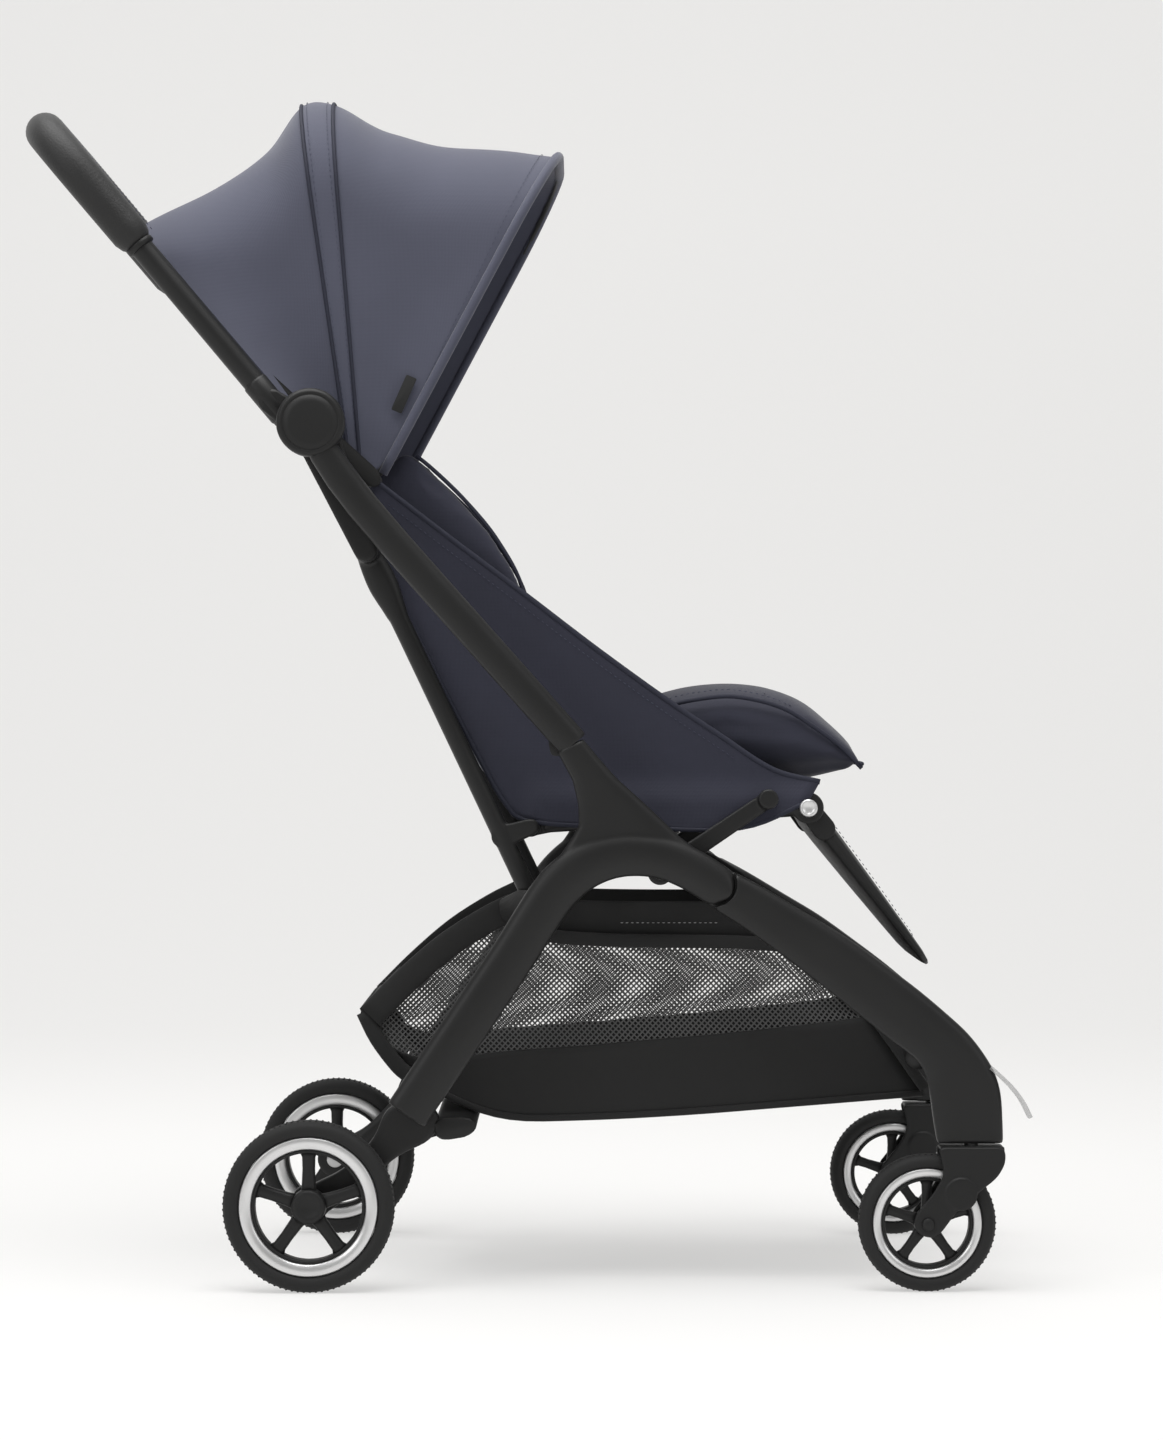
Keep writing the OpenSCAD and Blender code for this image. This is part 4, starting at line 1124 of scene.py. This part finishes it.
for s in (-1, 1):
    lo, hi = sorted((s * 135.5, s * 142))
    ears.append(slab("ear", capsule_outline(LEG, polar(LEG, LEG_DIR, 24), 19, 21), lo, hi, rim=1.6))
    lo, hi = sorted((s * 141, s * 158.5))
    ears.append(lathe("pin", LEG, [(0, lo), (4, lo), (4, hi), (0, hi)], 20, closed=False))
board = join("leg_rest_cover", [board] + ears)
dress(board, PLASTIC, "leg_rest")
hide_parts("leg_rest")
edge = []
for d, depth, half in ((26, 9.6, 137), (90, 7.9, 135), (128, 6.2, 131), (150, 4.6, 122)):
    edge.append((polar(polar(LEG, LEG_DIR, d), LEG_DIR + 90, depth + 0.2), half - 8))
loop = [(p[0], y, p[1]) for p, y in edge] + [(p[0], -y, p[1]) for p, y in edge[::-1]]
board_stitch = repeat_along("leg_rest_stitches", [curve_through(loop, 5)], THREAD, 5.0, 3.2, 0.9, 0.9)
dress(board_stitch, None, "leg_rest")
button = lathe("leg_button_left", LEG, [(0, 158.4), (7.2, 158.4), (8, 159.2), (8, 161.6), (7.2, 162.8),
                                        (5.6, 163.1),
                                        (5.2, 162.6), (0, 162.4)], 40, closed=False)
pair = both(button, SILVER, "ring_silver", "leg_rest")
for piece in pair:
    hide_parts("leg_rest_buttons")

# %% [markdown]
# ## Seat cushion
# The cushion is one padded cover: low behind, high over the raised front, then rounding down to a soft
# front lip. Its middle surface is built from the rail line, and a sewn channel crosses it.

# %%
cushion_top = [(34, 50), (70, 60), (104, 84), (132, 99), (165, 103), (196, 101), (236, 86), (264, 64),
               (285, 44), (301, 23)]
cushion_low = [(34, 12), (200, 13), (262, 14), (301, 17)]


def cushion_middle(u, v):
    along = 34 + (u + 1) / 2 * 266
    top, low = piecewise(cushion_top, along), piecewise(cushion_low, along)
    half = 137 - 9 * ease((along - 225) / 76)
    side = max(0.0, abs(v) - 0.75) / 0.25
    x, z = on_seat(along, (top + low) / 2 - 3 * side * side)
    return (x, v * half, z)


def cushion_thick(u, v):
    along = 34 + (u + 1) / 2 * 266
    return piecewise(cushion_top, along) - piecewise(cushion_low, along) - 2


def puff(obj, cap, frames=16, pressure=4.0, voxel=5.0):
    """Swells a closed cover by cloth simulation and keeps each point within cap of where it started."""
    remesh = obj.modifiers.new("even", "REMESH")
    remesh.mode = "VOXEL"
    remesh.voxel_size = voxel * MM
    remesh.use_smooth_shade = True
    modified(obj)
    start = [v.co.copy() for v in obj.data.vertices]
    sim = obj.modifiers.new("cloth", "CLOTH")
    sim.settings.use_pressure = True
    sim.settings.uniform_pressure_force = pressure
    sim.settings.effector_weights.gravity = 0
    sim.settings.quality = 5
    for f in range(1, frames + 1):
        bpy.context.scene.frame_set(f)
    modified(obj)
    bpy.context.scene.frame_set(1)
    for v, s in zip(obj.data.vertices, start):
        move = v.co - s
        if move.length > cap * MM:
            v.co = s + move.normalized() * cap * MM
    smooth = obj.modifiers.new("soften", "SMOOTH")
    smooth.factor = 0.5
    smooth.iterations = 2
    fine = obj.modifiers.new("fine", "SUBSURF")
    fine.levels = fine.render_levels = 1
    return modified(obj)


cushion = pillow("seat_cushion_cover", cushion_middle, cushion_thick, 56, 44, edge=3, power=5.0)
cushion = puff(cushion, 5)
dress(cushion, SEATBLUE, "seat")
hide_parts("seat_cushion", "front_edge_roll")


def around_cushion(v, shift=0.0):
    """Line along the cushion top at one share v of its width."""
    pts = []
    for k in range(37):
        along = 44 + k * 256 / 36
        half = 137 - 9 * ease((along - 225) / 76)
        x, z = on_seat(along, piecewise(cushion_top, along) - 4.5 + shift)
        pts.append((x, v * half, z))
    return pts


welts = join("seat_piping", [pipe("welt", around_cushion(v, -3.0), 2.0, 10) for v in (-0.965, 0.965)])
dress(welts, PIPING, "seat")
lip = [(*on_seat(302.5, 20.5), 0)]
lip_line = [(lip[0][0] - 2 * abs(k) ** 3, k * 126, lip[0][1]) for k in [i / 16 for i in range(-16, 17)]]
lip_welt = pipe("seat_lip_piping", lip_line, 2.0, 10)
dress(lip_welt, PIPING, "seat")
channel = [(on_seat(222, 93.5)[0], y, on_seat(222, 93.5)[1]) for y in range(-118, 119, 4)]
cross_seam = repeat_along("seat_stitches",
                          [channel] + [around_cushion(v, 3.2)[3:-3] for v in (-0.86, 0.86)],
                          THREAD, 5.2, 3.4, 0.9, 0.9)
dress(cross_seam, None, "seat")

# %% [markdown]
# ## Backrest
# A padded shell between the lower struts with wings that come forward beside the child's shoulders.

# %%
BACK_DIR = strut_angle
wing_table = [(118, 0), (150, 4), (185, 24), (225, 68), (268, 89), (318, 88), (363, 77), (405, 61),
              (428, 49)]


def on_back(along, ahead):
    return polar(polar(FOOT, BACK_DIR, along), BACK_DIR - 90, ahead)


def back_middle(u, v):
    along = 118 + (u + 1) / 2 * 308
    wing = piecewise(wing_table, along)
    t = max(0.0, abs(v) - 0.60) / 0.40
    bend = t * t * (3 - 2 * t) if t < 1 else 1.0
    ahead = 21 + wing * bend
    y = copysign(min(abs(v) / 0.66, 1.0) * 112 + 14 * ease((abs(v) - 0.55) / 0.45), v)
    x, z = on_back(along, ahead)
    return (x, y, z)


back = pillow("backrest_cover", back_middle, lambda u, v: 20 - 8 * ease((abs(v) - 0.55) / 0.3), 44, 72,
              edge=5, power=6.0,
              bump=lambda u,
              v: -1.6 * max(0.0, 1 - abs((u + 1) * 2.5 % 1.25 - 0.6) / 0.09) * ease((0.6 - abs(v)) / 0.1))
back = puff(back, 4, voxel=3.6)
dress(back, SEATBLUE, "lower_struts")
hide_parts("backrest")


def back_edge(sign):
    pts = []
    for k in range(41):
        u = -0.95 + 1.90 * k / 40
        x, y, z = back_middle(u, sign * 0.985)
        pts.append((x, y, z))
    return pts


back_welts = join("backrest_piping", [pipe("welt", back_edge(s), 1.9, 10) for s in (-1, 1)])
dress(back_welts, PIPING, "lower_struts")

# %% [markdown]
# Side panels close the gap between strut, rail and armrest line. Each bends between the struts and the
# seat, and the weight turns with the angle about the seat hinge.

# %%
panel_top = [(-128, 716), (-107, 700), (-60, 664), (-20, 634), (17, 606), (76, 561), (137, 517),
             (182, 487),
             (230, 456), (272, 445)]
panel_low = [(-122, 650), (-104, 610), (-80, 562), (-56, 514), (-32, 468), (-8, 426), (16, 410),
             (100, 405),
             (200, 404), (262, 428)]


def panel_y(p):
    """The panel steps outwards low down, to cover the rail."""
    return 151.5 + 6.3 * ease((452 - p[1]) / 26) * ease((p[0] - 2) / 18)


def panel_grid(side, rows=26):
    top = curve_through(panel_top, 4)
    low = curve_through(panel_low, 4)
    grid = []
    for a, b in zip(top, low):
        row = []
        for k in range(rows + 1):
            t = k / rows
            p = mix(a, b, t)
            sag = 3.0 * sin(pi * t) * sin(pi * min(1.0, max(0.0, (p[0] + 128) / 390)))
            row.append((p[0], side * (panel_y(p) - sag), p[1]))
        grid.append(row)
    return grid


def hinge_weight(obj, centre, from_angle, to_angle):
    """Share of the second body's turn at each point, by its angle about the hinge."""
    layer = obj.data.attributes["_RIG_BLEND"].data
    for v, item in zip(obj.data.vertices, layer):
        a = direction(centre, (v.co.x / MM, v.co.z / MM))
        item.value = ease((a - from_angle) / (to_angle - from_angle))


for side, sign in (("left", 1), ("right", -1)):
    panel = cloth("side_panel_cover_" + side, panel_grid(sign), 1.6)
    edge_top = [(x, sign * panel_y((x, z)), z) for x, z in curve_through(panel_top, 6)]
    edge_low = [(x, sign * panel_y((x, z)), z) for x, z in curve_through(panel_low, 6)]
    binding = join("side_binding_" + side, [pipe("binding", edge_top, 2.6, 10, flat=((0, 1, 0), 0.7)),
                                            pipe("binding", edge_low, 2.2, 10, flat=((0, 1, 0), 0.7))])
    inset = [(x - 4, sign * (panel_y((x - 4, z - 9)) + 0.9), z - 9) for x,
             z in curve_through(panel_top, 6)][6:-10]
    rows = repeat_along("side_stitches_" + side, [inset], THREAD, 5.0, 3.4, 0.8, 0.7)
    binding.data.materials.append(PIPING)
    dress(panel, SEATBLUE)
    for piece in (panel, binding, rows):
        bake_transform(piece, "lower_struts", "seat", (SEAT[0] * MM, 0, (SEAT[1] + 90) * MM),
                 ((SEAT[0] + 110) * MM, 0, (SEAT[1] + 10) * MM))
        hinge_weight(piece, SEAT, 112, 28)
    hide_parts("side_panel_" + side)

# %% [markdown]
# ## Head panel and harness
# A fabric back hangs between the handle tubes at the head end. Two shoulder straps and two lap straps
# meet at the buckle in front of the child.

# %%
def head_middle(u, v):
    line = [on_handle(92, 0, 3)[::2], on_handle(46, 0, 1)[::2], (ELBOW[0] - 15, ELBOW[1] + 3),
            (-160, 710), (-134, 664)]
    pts = curve_through(line, 8)
    k = (u + 1) / 2 * (len(pts) - 1)
    i = min(len(pts) - 2, int(k))
    x, z = mix(pts[i], pts[i + 1], k - i)
    return (x - 3 * (1 - v * v), v * 124, z)


head = pillow("head_panel_cover", head_middle, 7, 30, 34, edge=1.6, power=6)
dress(head, SEATBLUE, "handle")
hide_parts("head_panel")


def on_back_y(along, ahead, y):
    x, z = on_back(along, ahead)
    return (x, y, z)


for side, sign in (("left", 1), ("right", -1)):
    shoulder = pipe("shoulder_strap_" + side, curve_through([
        on_back_y(352, 33, sign * 46), on_back_y(340, 39, sign * 46), on_back_y(300, 42, sign * 44),
        on_back_y(262, 48, sign * 36), on_back_y(238, 56, sign * 22)], 8), 12, 14,
        flat=((0, 0.2, 1), 0.14))
    shoulder = dress(shoulder, WEBBING, "lower_struts")
    pad = pipe("shoulder_pad_" + side, curve_through([
        on_back_y(346, 43, sign * 46), on_back_y(318, 46, sign * 45), on_back_y(286, 50, sign * 42)], 8),
        19, 18, flat=((0, 0.2, 1), 0.28))
    dress(pad, SEATBLUE, "lower_struts")
buckle_at = on_back(232, 58)
buckle_outline = [polar(polar(buckle_at, BACK_DIR, a), BACK_DIR - 90, b) for a, b in ((-16, 0), (16, 0),
                                                                                      (16, 12), (-16, 12))]
buckle = slab("harness_buckle_cover", rounded(buckle_outline, 5), -20, 20, 3)
dress(buckle, PLASTIC, "lower_struts")
clasp_outline = [on_seat(u, v) for u, v in ((84, 98), (110, 102), (110, 115), (84, 112))]
clasp = slab("harness_clasp", rounded(clasp_outline, 4), -19, 19, 3)
dress(clasp, PLASTIC, "seat")
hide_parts("harness_buckle")
for name, pts in (("crotch_strap", [(92, 60, 0), (96, 84, 0), (100, 104, 0)]),
                  ("lap_strap_left", [(50, 60, 112), (70, 84, 70), (92, 104, 18)]),
                  ("lap_strap_right", [(50, 60, -112), (70, 84, -70), (92, 104, -18)])):
    line = curve_through([(on_seat(u, v)[0], y, on_seat(u, v)[1]) for u, v, y in pts], 8)
    across = (0, 1, 0) if name == "crotch_strap" else (1, 0, 0)
    dress(pipe(name, line, 1.5, 14, flat=(across, 8)), WEBBING, "seat")

# %% [markdown]
# ## Basket
# A black cloth tray with a floor and low walls, net walls above it, a padded rear rim, and a stiff inner
# board with one row of pale stitching. Its rear end stays with the rear frame and its front end follows
# the front legs.

# %%
net_top = [(-137, 243), (-104, 272), (-66, 300), (-26, 316), (10, 308), (60, 300), (120, 299), (180, 298),
           (236, 297), (278, 270), (318, 240)]
net_low = [(-114, 210), (-88, 200), (-50, 200), (-16, 204), (20, 207), (64, 210), (120, 215), (180, 220),
           (236, 226), (272, 230), (318, 236)]
tray_low = [(-102, 190), (-80, 174), (-52, 160), (-26, 150), (0, 145), (40, 144), (90, 145), (150, 149),
            (230, 155), (310, 161), (366, 166)]
HALF = 142


def wall(side, upper, lower, sag, inward=0.0, rows=10):
    top, low = curve_through(upper, 4), curve_through(lower, 4)
    grid = []
    for a, b in zip(top, low):
        row = []
        for k in range(rows + 1):
            t = k / rows
            p = mix(a, b, t)
            row.append((p[0], side * (HALF - inward * t - sag * sin(pi * t)), p[1]))
        grid.append(row)
    return grid


def across(line, half, sag, cols=20):
    """Cloth across the stroller along a side view line, hanging lower in the middle."""
    grid = []
    for x, z in curve_through(line, 4):
        grid.append([(x, half * (-1 + 2 * j / cols),
                      z - sag * (1 - (-1 + 2 * j / cols) ** 2)) for j in range(cols + 1)])
    return grid


def metres(p, y=0.0):
    return (p[0] * MM, y * MM, p[1] * MM)


basket_body = "rear_frame"


def carry_basket(obj, material, start=(60, 250), end=(370, 170)):
    """The basket hangs between the rear frame and the front legs, so it follows both."""
    dress(obj, material)
    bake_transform(obj, "rear_frame", "front_frame", metres(start), metres(end))


nets = []
for side, sign in (("left", 1), ("right", -1)):
    net = cloth("basket_net_" + side, wall(sign, net_top, net_low, 4), 1.0)
    carry_basket(net, NET)
    nets.append(net)
tray_walls = [cloth("tray", wall(s, net_low, tray_low, 2.5, 6), 1.8) for s in (1, -1)]
floor_grid = across(tray_low, HALF - 6, 4)
tray_floor = cloth("tray", floor_grid, 1.8)
back_net = across([(-137, 243), (-128, 224), (-114, 204), (-102, 190)], HALF - 2, 0)
tray_back = cloth("tray", back_net, 1.8)
front_wall = cloth("tray", across([(318, 236), (342, 200), (366, 166)], HALF - 3, 0), 1.8)
tray = join("basket_tray", tray_walls + [tray_floor, tray_back, front_wall])
carry_basket(tray, BLACKCLOTH)
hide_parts("basket")


def rim_band(name, line, half_depth, y, thick=3.0):
    rows = [(x, z, half_depth, thick) for x, z in line]
    return sweep(name, rows, y, power=2.6, steps=4, n=20)


bands = []
for s in (1, -1):
    bands.append(rim_band("band", [(-128, 236), (-96, 268), (-60, 299), (-24, 322), (0, 334)], 12,
                          s * (HALF + 2), 3.4))
    bands.append(rim_band("band", [(-8, 318), (30, 308), (80, 304), (140, 303), (200, 302), (242, 299)],
                          6, s * (HALF + 1), 2.6))
    bands.append(rim_band("band", [(238, 299), (278, 271), (318, 238), (366, 172)], 5, s * (HALF + 1),
                          2.4))
    bands.append(rim_band("band", [(-134, 240), (-122, 216), (-104, 192), (-92, 182)], 7, s * (HALF + 1),
                          2.8))
    bands.append(rim_band("band", [(-98, 188), (-52, 161), (-4, 146), (60, 145.5), (150, 150), (240, 157),
                                   (364, 167)], 3,
                          s * (HALF - 5), 2.2))
bands.append(pipe("band", [(-128, y, 238) for y in range(-144, 145, 12)], 9, 16))
bands = join("basket_rim", bands)
carry_basket(bands, BLACKCLOTH)
board_line = [(24, 324), (60, 322), (110, 321), (170, 321), (222, 322)]
boards = [sweep("board", [(x, z, 17, 2.0) for x, z in board_line], s * 134, power=4, steps=4,
                n=20) for s in (-1, 1)]
boards = join("basket_board", boards)
carry_basket(boards, BLACKCLOTH, (110, 322), (200, 322))
board_rows = [[(x, s * 136.6, 319) for x in range(96, 184, 4)] for s in (-1, 1)]
pale = modified(repeat_along("basket_stitches", board_rows, PALETHREAD, 4.6, 3.0, 0.9, 0.8))
carry_basket(pale, None, (110, 322), (200, 322))
rear_hang = [pipe("tab", [(x, s * y, z) for x, y, z in ((-8, 150, 330), (6, 168, 338), (14, 184, 338))],
                  6, 12,
                  flat=((0, 0, 1), 2.0)) for s in (-1, 1)]
tabs = join("basket_tabs", rear_hang)
dress(tabs, WEBBING, basket_body)

# %% [markdown]
# ## Canopy
# One curved skin in two panels. Every section is a U hoop from a foot near the pivot, up the side, round
# the corner and over the crown. The crown line sinks between the bows, and the sides pull in a little.

# %%
crown = [(133.2, 311), (119.4, 306), (108.5, 320), (101.4, 353), (96.6, 350), (91.3, 330), (87.2, 321),
         (78.5, 315),
         (66.4, 331), (61.2, 341)]
crown_line = curve_through(crown, 8)
foot_rear, foot_mid, foot_front = (-178, 752), (-141, 716), (-117, 719)
REAR_SEAM, FRONT_SEAM, FRONT_EDGE = 101.4, 96.6, 61.2


def crown_radius(angle):
    for (a, r), (b, q) in zip(crown_line, crown_line[1:]):
        if b <= angle <= a:
            return r + (q - r) * (a - angle) / max(1e-6, a - b)
    return crown_line[-1][1]


def hoop_section(angle, pull=0.0, grow=0.0, sides=14, corner=9, over_n=6):
    """Half hoop and its mirror as one row of points, from the left foot over the crown to the right."""
    if angle > REAR_SEAM:
        s = (angle - REAR_SEAM) / (133.2 - REAR_SEAM)
        foot = mix((foot_mid[0] - 4, foot_mid[1] + 1), foot_rear, s)
        half, radius = 146 + 20 * s * s, 95 - 52 * s * s
    elif angle >= FRONT_SEAM:
        foot, half, radius = mix((foot_mid[0] + 5, foot_mid[1]), (foot_mid[0] - 4, foot_mid[1] + 1),
                                 (angle - FRONT_SEAM) / (REAR_SEAM - FRONT_SEAM)), 146, 95
    else:
        s = (FRONT_SEAM - angle) / (FRONT_SEAM - FRONT_EDGE)
        foot, half, radius = mix((foot_mid[0] + 5, foot_mid[1]), foot_front, s), 146, 95 - 6 * s
    top = polar(BOW, angle, crown_radius(angle) + grow)
    length = hypot(top[0] - foot[0], top[1] - foot[1])
    row = []
    for k in range(sides):
        q = (length - radius) * k / sides
        row.append((q, half + grow - pull * sin(pi * q / length)))
    for k in range(corner + 1):
        t = pi / 2 * k / corner
        row.append((length - radius + radius * sin(t), half + grow - radius + radius * cos(t)
                    - pull * sin(pi * min(1, (length - radius) / length)) * (1 - k / corner)))
    for k in range(1, over_n + 1):
        row.append((length, (half + grow - radius) * (1 - k / over_n)))
    points = [(*mix(foot, top, q / length), y) for q, y in row]
    left = [(x, y, z) for x, z, y in points]
    return left + [(x, -y, z) for x, y, z in left[::-1]][1:]


def canopy_panel(name, a0, a1, rows, pull, share):
    grid, shares = [], []
    for i in range(rows + 1):
        s = i / rows
        row = hoop_section(a0 + (a1 - a0) * s, pull * sin(pi * s))
        grid.append(row)
        shares += [share(s)] * len(row)
    m = len(grid[0])
    verts = [p for row in grid for p in row]
    faces = [(i * m + j, i * m + j + 1, (i + 1) * m + j + 1,
              (i + 1) * m + j) for i in range(rows) for j in range(m - 1)]
    obj = add_mesh(name, verts, faces)
    layer = obj.data.attributes.new("share", "FLOAT", "POINT")
    layer.data.foreach_set("value", shares)
    fine = obj.modifiers.new("fine", "SUBSURF")
    fine.levels = fine.render_levels = 1
    solid = obj.modifiers.new("thick", "SOLIDIFY")
    solid.thickness = 1.4 * MM
    solid.offset = -1
    return modified(obj)


def blend_by_share(obj, a, b, start, end):
    shares = [item.value for item in obj.data.attributes["share"].data]
    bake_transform(obj, a, b, start, end)
    obj.data.attributes["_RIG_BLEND"].data.foreach_set("value", shares)
    obj.data.attributes.remove(obj.data.attributes["share"])


rear_panel = canopy_panel("canopy_rear_cover", 133.2, REAR_SEAM, 26, 9, ease)
dress(rear_panel, BLUE)
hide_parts("canopy_rear")
blend_by_share(rear_panel, "handle", "canopy_middle", metres(polar(BOW, 131, 300)),
               metres(polar(BOW, 101, 300)))
channel = canopy_panel("canopy_channel", REAR_SEAM, FRONT_SEAM, 6, -1.5, lambda s: 0.0)
channel.data.attributes.remove(channel.data.attributes["share"])
dress(channel, BLUE, "canopy_middle")
front_panel = canopy_panel("canopy_front_cover", FRONT_SEAM, FRONT_EDGE, 34, 7, ease)
dress(front_panel, BLUE)
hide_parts("canopy_front")
blend_by_share(front_panel, "canopy_middle", "canopy_front", metres(polar(BOW, 97, 300)),
               metres(polar(BOW, 61, 300)))
for name, angle, radius, body in (("canopy_seam_a", REAR_SEAM, 1.7, "canopy_middle"),
                                  ("canopy_seam_b", FRONT_SEAM, 1.7, "canopy_middle"),
                                  ("canopy_front_hem", FRONT_EDGE, 4.4, "canopy_front")):
    seam_piece = pipe(name, hoop_section(angle, 0, 0.4), radius, 12)
    dress(seam_piece, PIPING if radius < 3 else BLUE, body)
hem_line = hoop_section(FRONT_EDGE + 2.4, 0, 0.5)
hem_stitch = repeat_along("canopy_stitches_front", [hem_line[2:-2]], THREAD, 5.4, 3.6, 0.8, 0.8)
dress(hem_stitch, None, "canopy_front")
mid_stitch = repeat_along("canopy_stitches_mid", [hoop_section(a, 0, 0.6)[2:-2] for a in (REAR_SEAM - 0.9,
                                                                                          FRONT_SEAM + 0.9)],
                          THREAD, 5.4, 3.6, 0.8, 0.8)
dress(mid_stitch, None, "canopy_middle")

# %% [markdown]
# A back flap closes the canopy between the handle tubes. The two bows are rods with flat eyes at the pivot.
# A plain dark tab sits near the front edge, with nothing on it.

# %%
flap = cloth("canopy_back",
             [[(*on_handle(a, 0, 9 - 6 * (1 - (y / 165) ** 2) * sin(pi * (a - 84) / 166))[::2], y)
                              for y in [165 * k / 12 for k in range(-12, 13)]]
                             for a in range(84, 251, 8)], 1.4)
flap_mesh = flap.data
for v in flap_mesh.vertices:
    v.co = Vector((v.co.x, v.co.z, v.co.y))
flap_mesh.flip_normals()
dress(flap, BLUE, "handle")
rear_hem = pipe("canopy_rear_hem", hoop_section(133.2, 0, 0.6), 2.6, 12)
dress(rear_hem, PIPING, "handle")


def bow_rod(name, angle, grow, y, node, body):
    """Rod along the inside of one hoop of the skin, down to its flat eyes on the pivot."""
    line = hoop_section(angle, 0, grow)
    line = [(BOW[0], y, BOW[1]), *line[1:-1], (BOW[0], -y, BOW[1])]
    rod = pipe("rod", line, 3.2, 14)
    eyes = [slab("eye", arc(BOW, 7, 0, 350, 28), s * y - 3, s * y + 3, rim=0.8) for s in (-1, 1)]
    obj = join(name, [rod] + eyes)
    dress(obj, BOWPLASTIC, body)
    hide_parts(node)


bow_rod("mid_bow_rod", 98.9, -6.5, 137, "mid_bow", "canopy_middle")
bow_rod("front_bow_rod", FRONT_EDGE, -0.6, 145.4, "front_bow", "canopy_front")
tab_at = (-98, 790)
tab_outline = [polar(polar(tab_at, 66, a), 156, b) for a, b in ((-17, -5), (17, -5), (17, 5), (-17, 5))]
tab = slab("blank_tab", rounded(tab_outline, 1.5), -148.6, -147.2, rim=0.4)
dress(tab, WEBBING, "canopy_front")

# %% [markdown]
# ## Padding meshes of their own
# The cushion with its piping and stitches, and the backrest with its piping, have any modifiers
# applied and each gets a mesh of its own.

# %%
def flatten(names, anchor):
    """Each named piece has any modifiers applied and gets a mesh of its own. anchor is not used."""
    for name in names:
        piece = bpy.data.objects[name]
        if piece.modifiers:
            modified(piece)
        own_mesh(piece)


flatten(["seat_cushion_cover", "seat_piping", "seat_lip_piping", "seat_stitches"],
        metres(on_seat(160, piecewise(cushion_low, 160) + 2)))
flatten(["backrest_cover", "backrest_piping"], metres(on_back(270, 12)))

# %% [markdown]
# ## Stage, light and camera
# A pale seamless floor, one broad soft light above and a fill from each side. The camera is level and
# square to the side, as the picture was taken.

# %%
sweep_rows = []
for k in range(25):
    t = k / 24 * pi / 2
    sweep_rows.append((2600 + 1500 * sin(t), 1500 - 1500 * cos(t)))
profile = [(-9000, 0), (2600, 0)] + sweep_rows[1:] + [(4100, 6000)]
floor = add_mesh("studio_floor", [(x, y, z) for y, z in profile for x in (-9000, 9000)],
                 [(2 * i, 2 * i + 1, 2 * i + 3, 2 * i + 2) for i in range(len(profile) - 1)],
                 outward=False)
pale = bpy.data.materials.new("studio_paper")
pale.use_nodes = True
paper = pale.node_tree.nodes["Principled BSDF"]
paper.inputs["Base Color"].default_value = (0.40, 0.397, 0.392, 1)
paper.inputs["Roughness"].default_value = 0.95
paper.inputs["Emission Color"].default_value = (1.0, 0.995, 0.985, 1)
paper.inputs["Emission Strength"].default_value = 0.50
floor.data.materials.append(pale)


def light(name, place, aim, size, power):
    data = bpy.data.lights.new(name, "AREA")
    data.shape = "RECTANGLE"
    data.size, data.size_y = size
    data.energy = power
    obj = bpy.data.objects.new(name, data)
    bpy.context.scene.collection.objects.link(obj)
    obj.location = place
    obj.rotation_euler = (Vector(aim) - Vector(place)).to_track_quat("-Z", "Y").to_euler()
    return obj


light("key_above", (-0.3, -0.5, 3.0), (0, 0, 0.4), (3.0, 2.2), 95)
light("fill_left", (-3.0, -2.8, 2.2), (0, 0, 0.6), (1.6, 2.0), 26)
light("fill_right", (3.0, -2.4, 1.8), (0.1, 0, 0.5), (1.4, 1.8), 12)
world = bpy.data.worlds.new("studio")
world.use_nodes = True
sky = world.node_tree.nodes["Background"]
sky.inputs["Color"].default_value = (1.0, 0.995, 0.985, 1)
sky.inputs["Strength"].default_value = 0.36
scene = bpy.context.scene
scene.world = world
scene.view_settings.view_transform = "Standard"
camera_data = bpy.data.cameras.new("camera")
camera_data.lens = 104
camera_data.sensor_width = 36
camera_data.clip_end = 60
camera = bpy.data.objects.new("camera", camera_data)
scene.collection.objects.link(camera)
camera.location = (0.060, -3.85, 0.50)
camera.rotation_euler = (radians(90), 0, 0)
scene.camera = camera
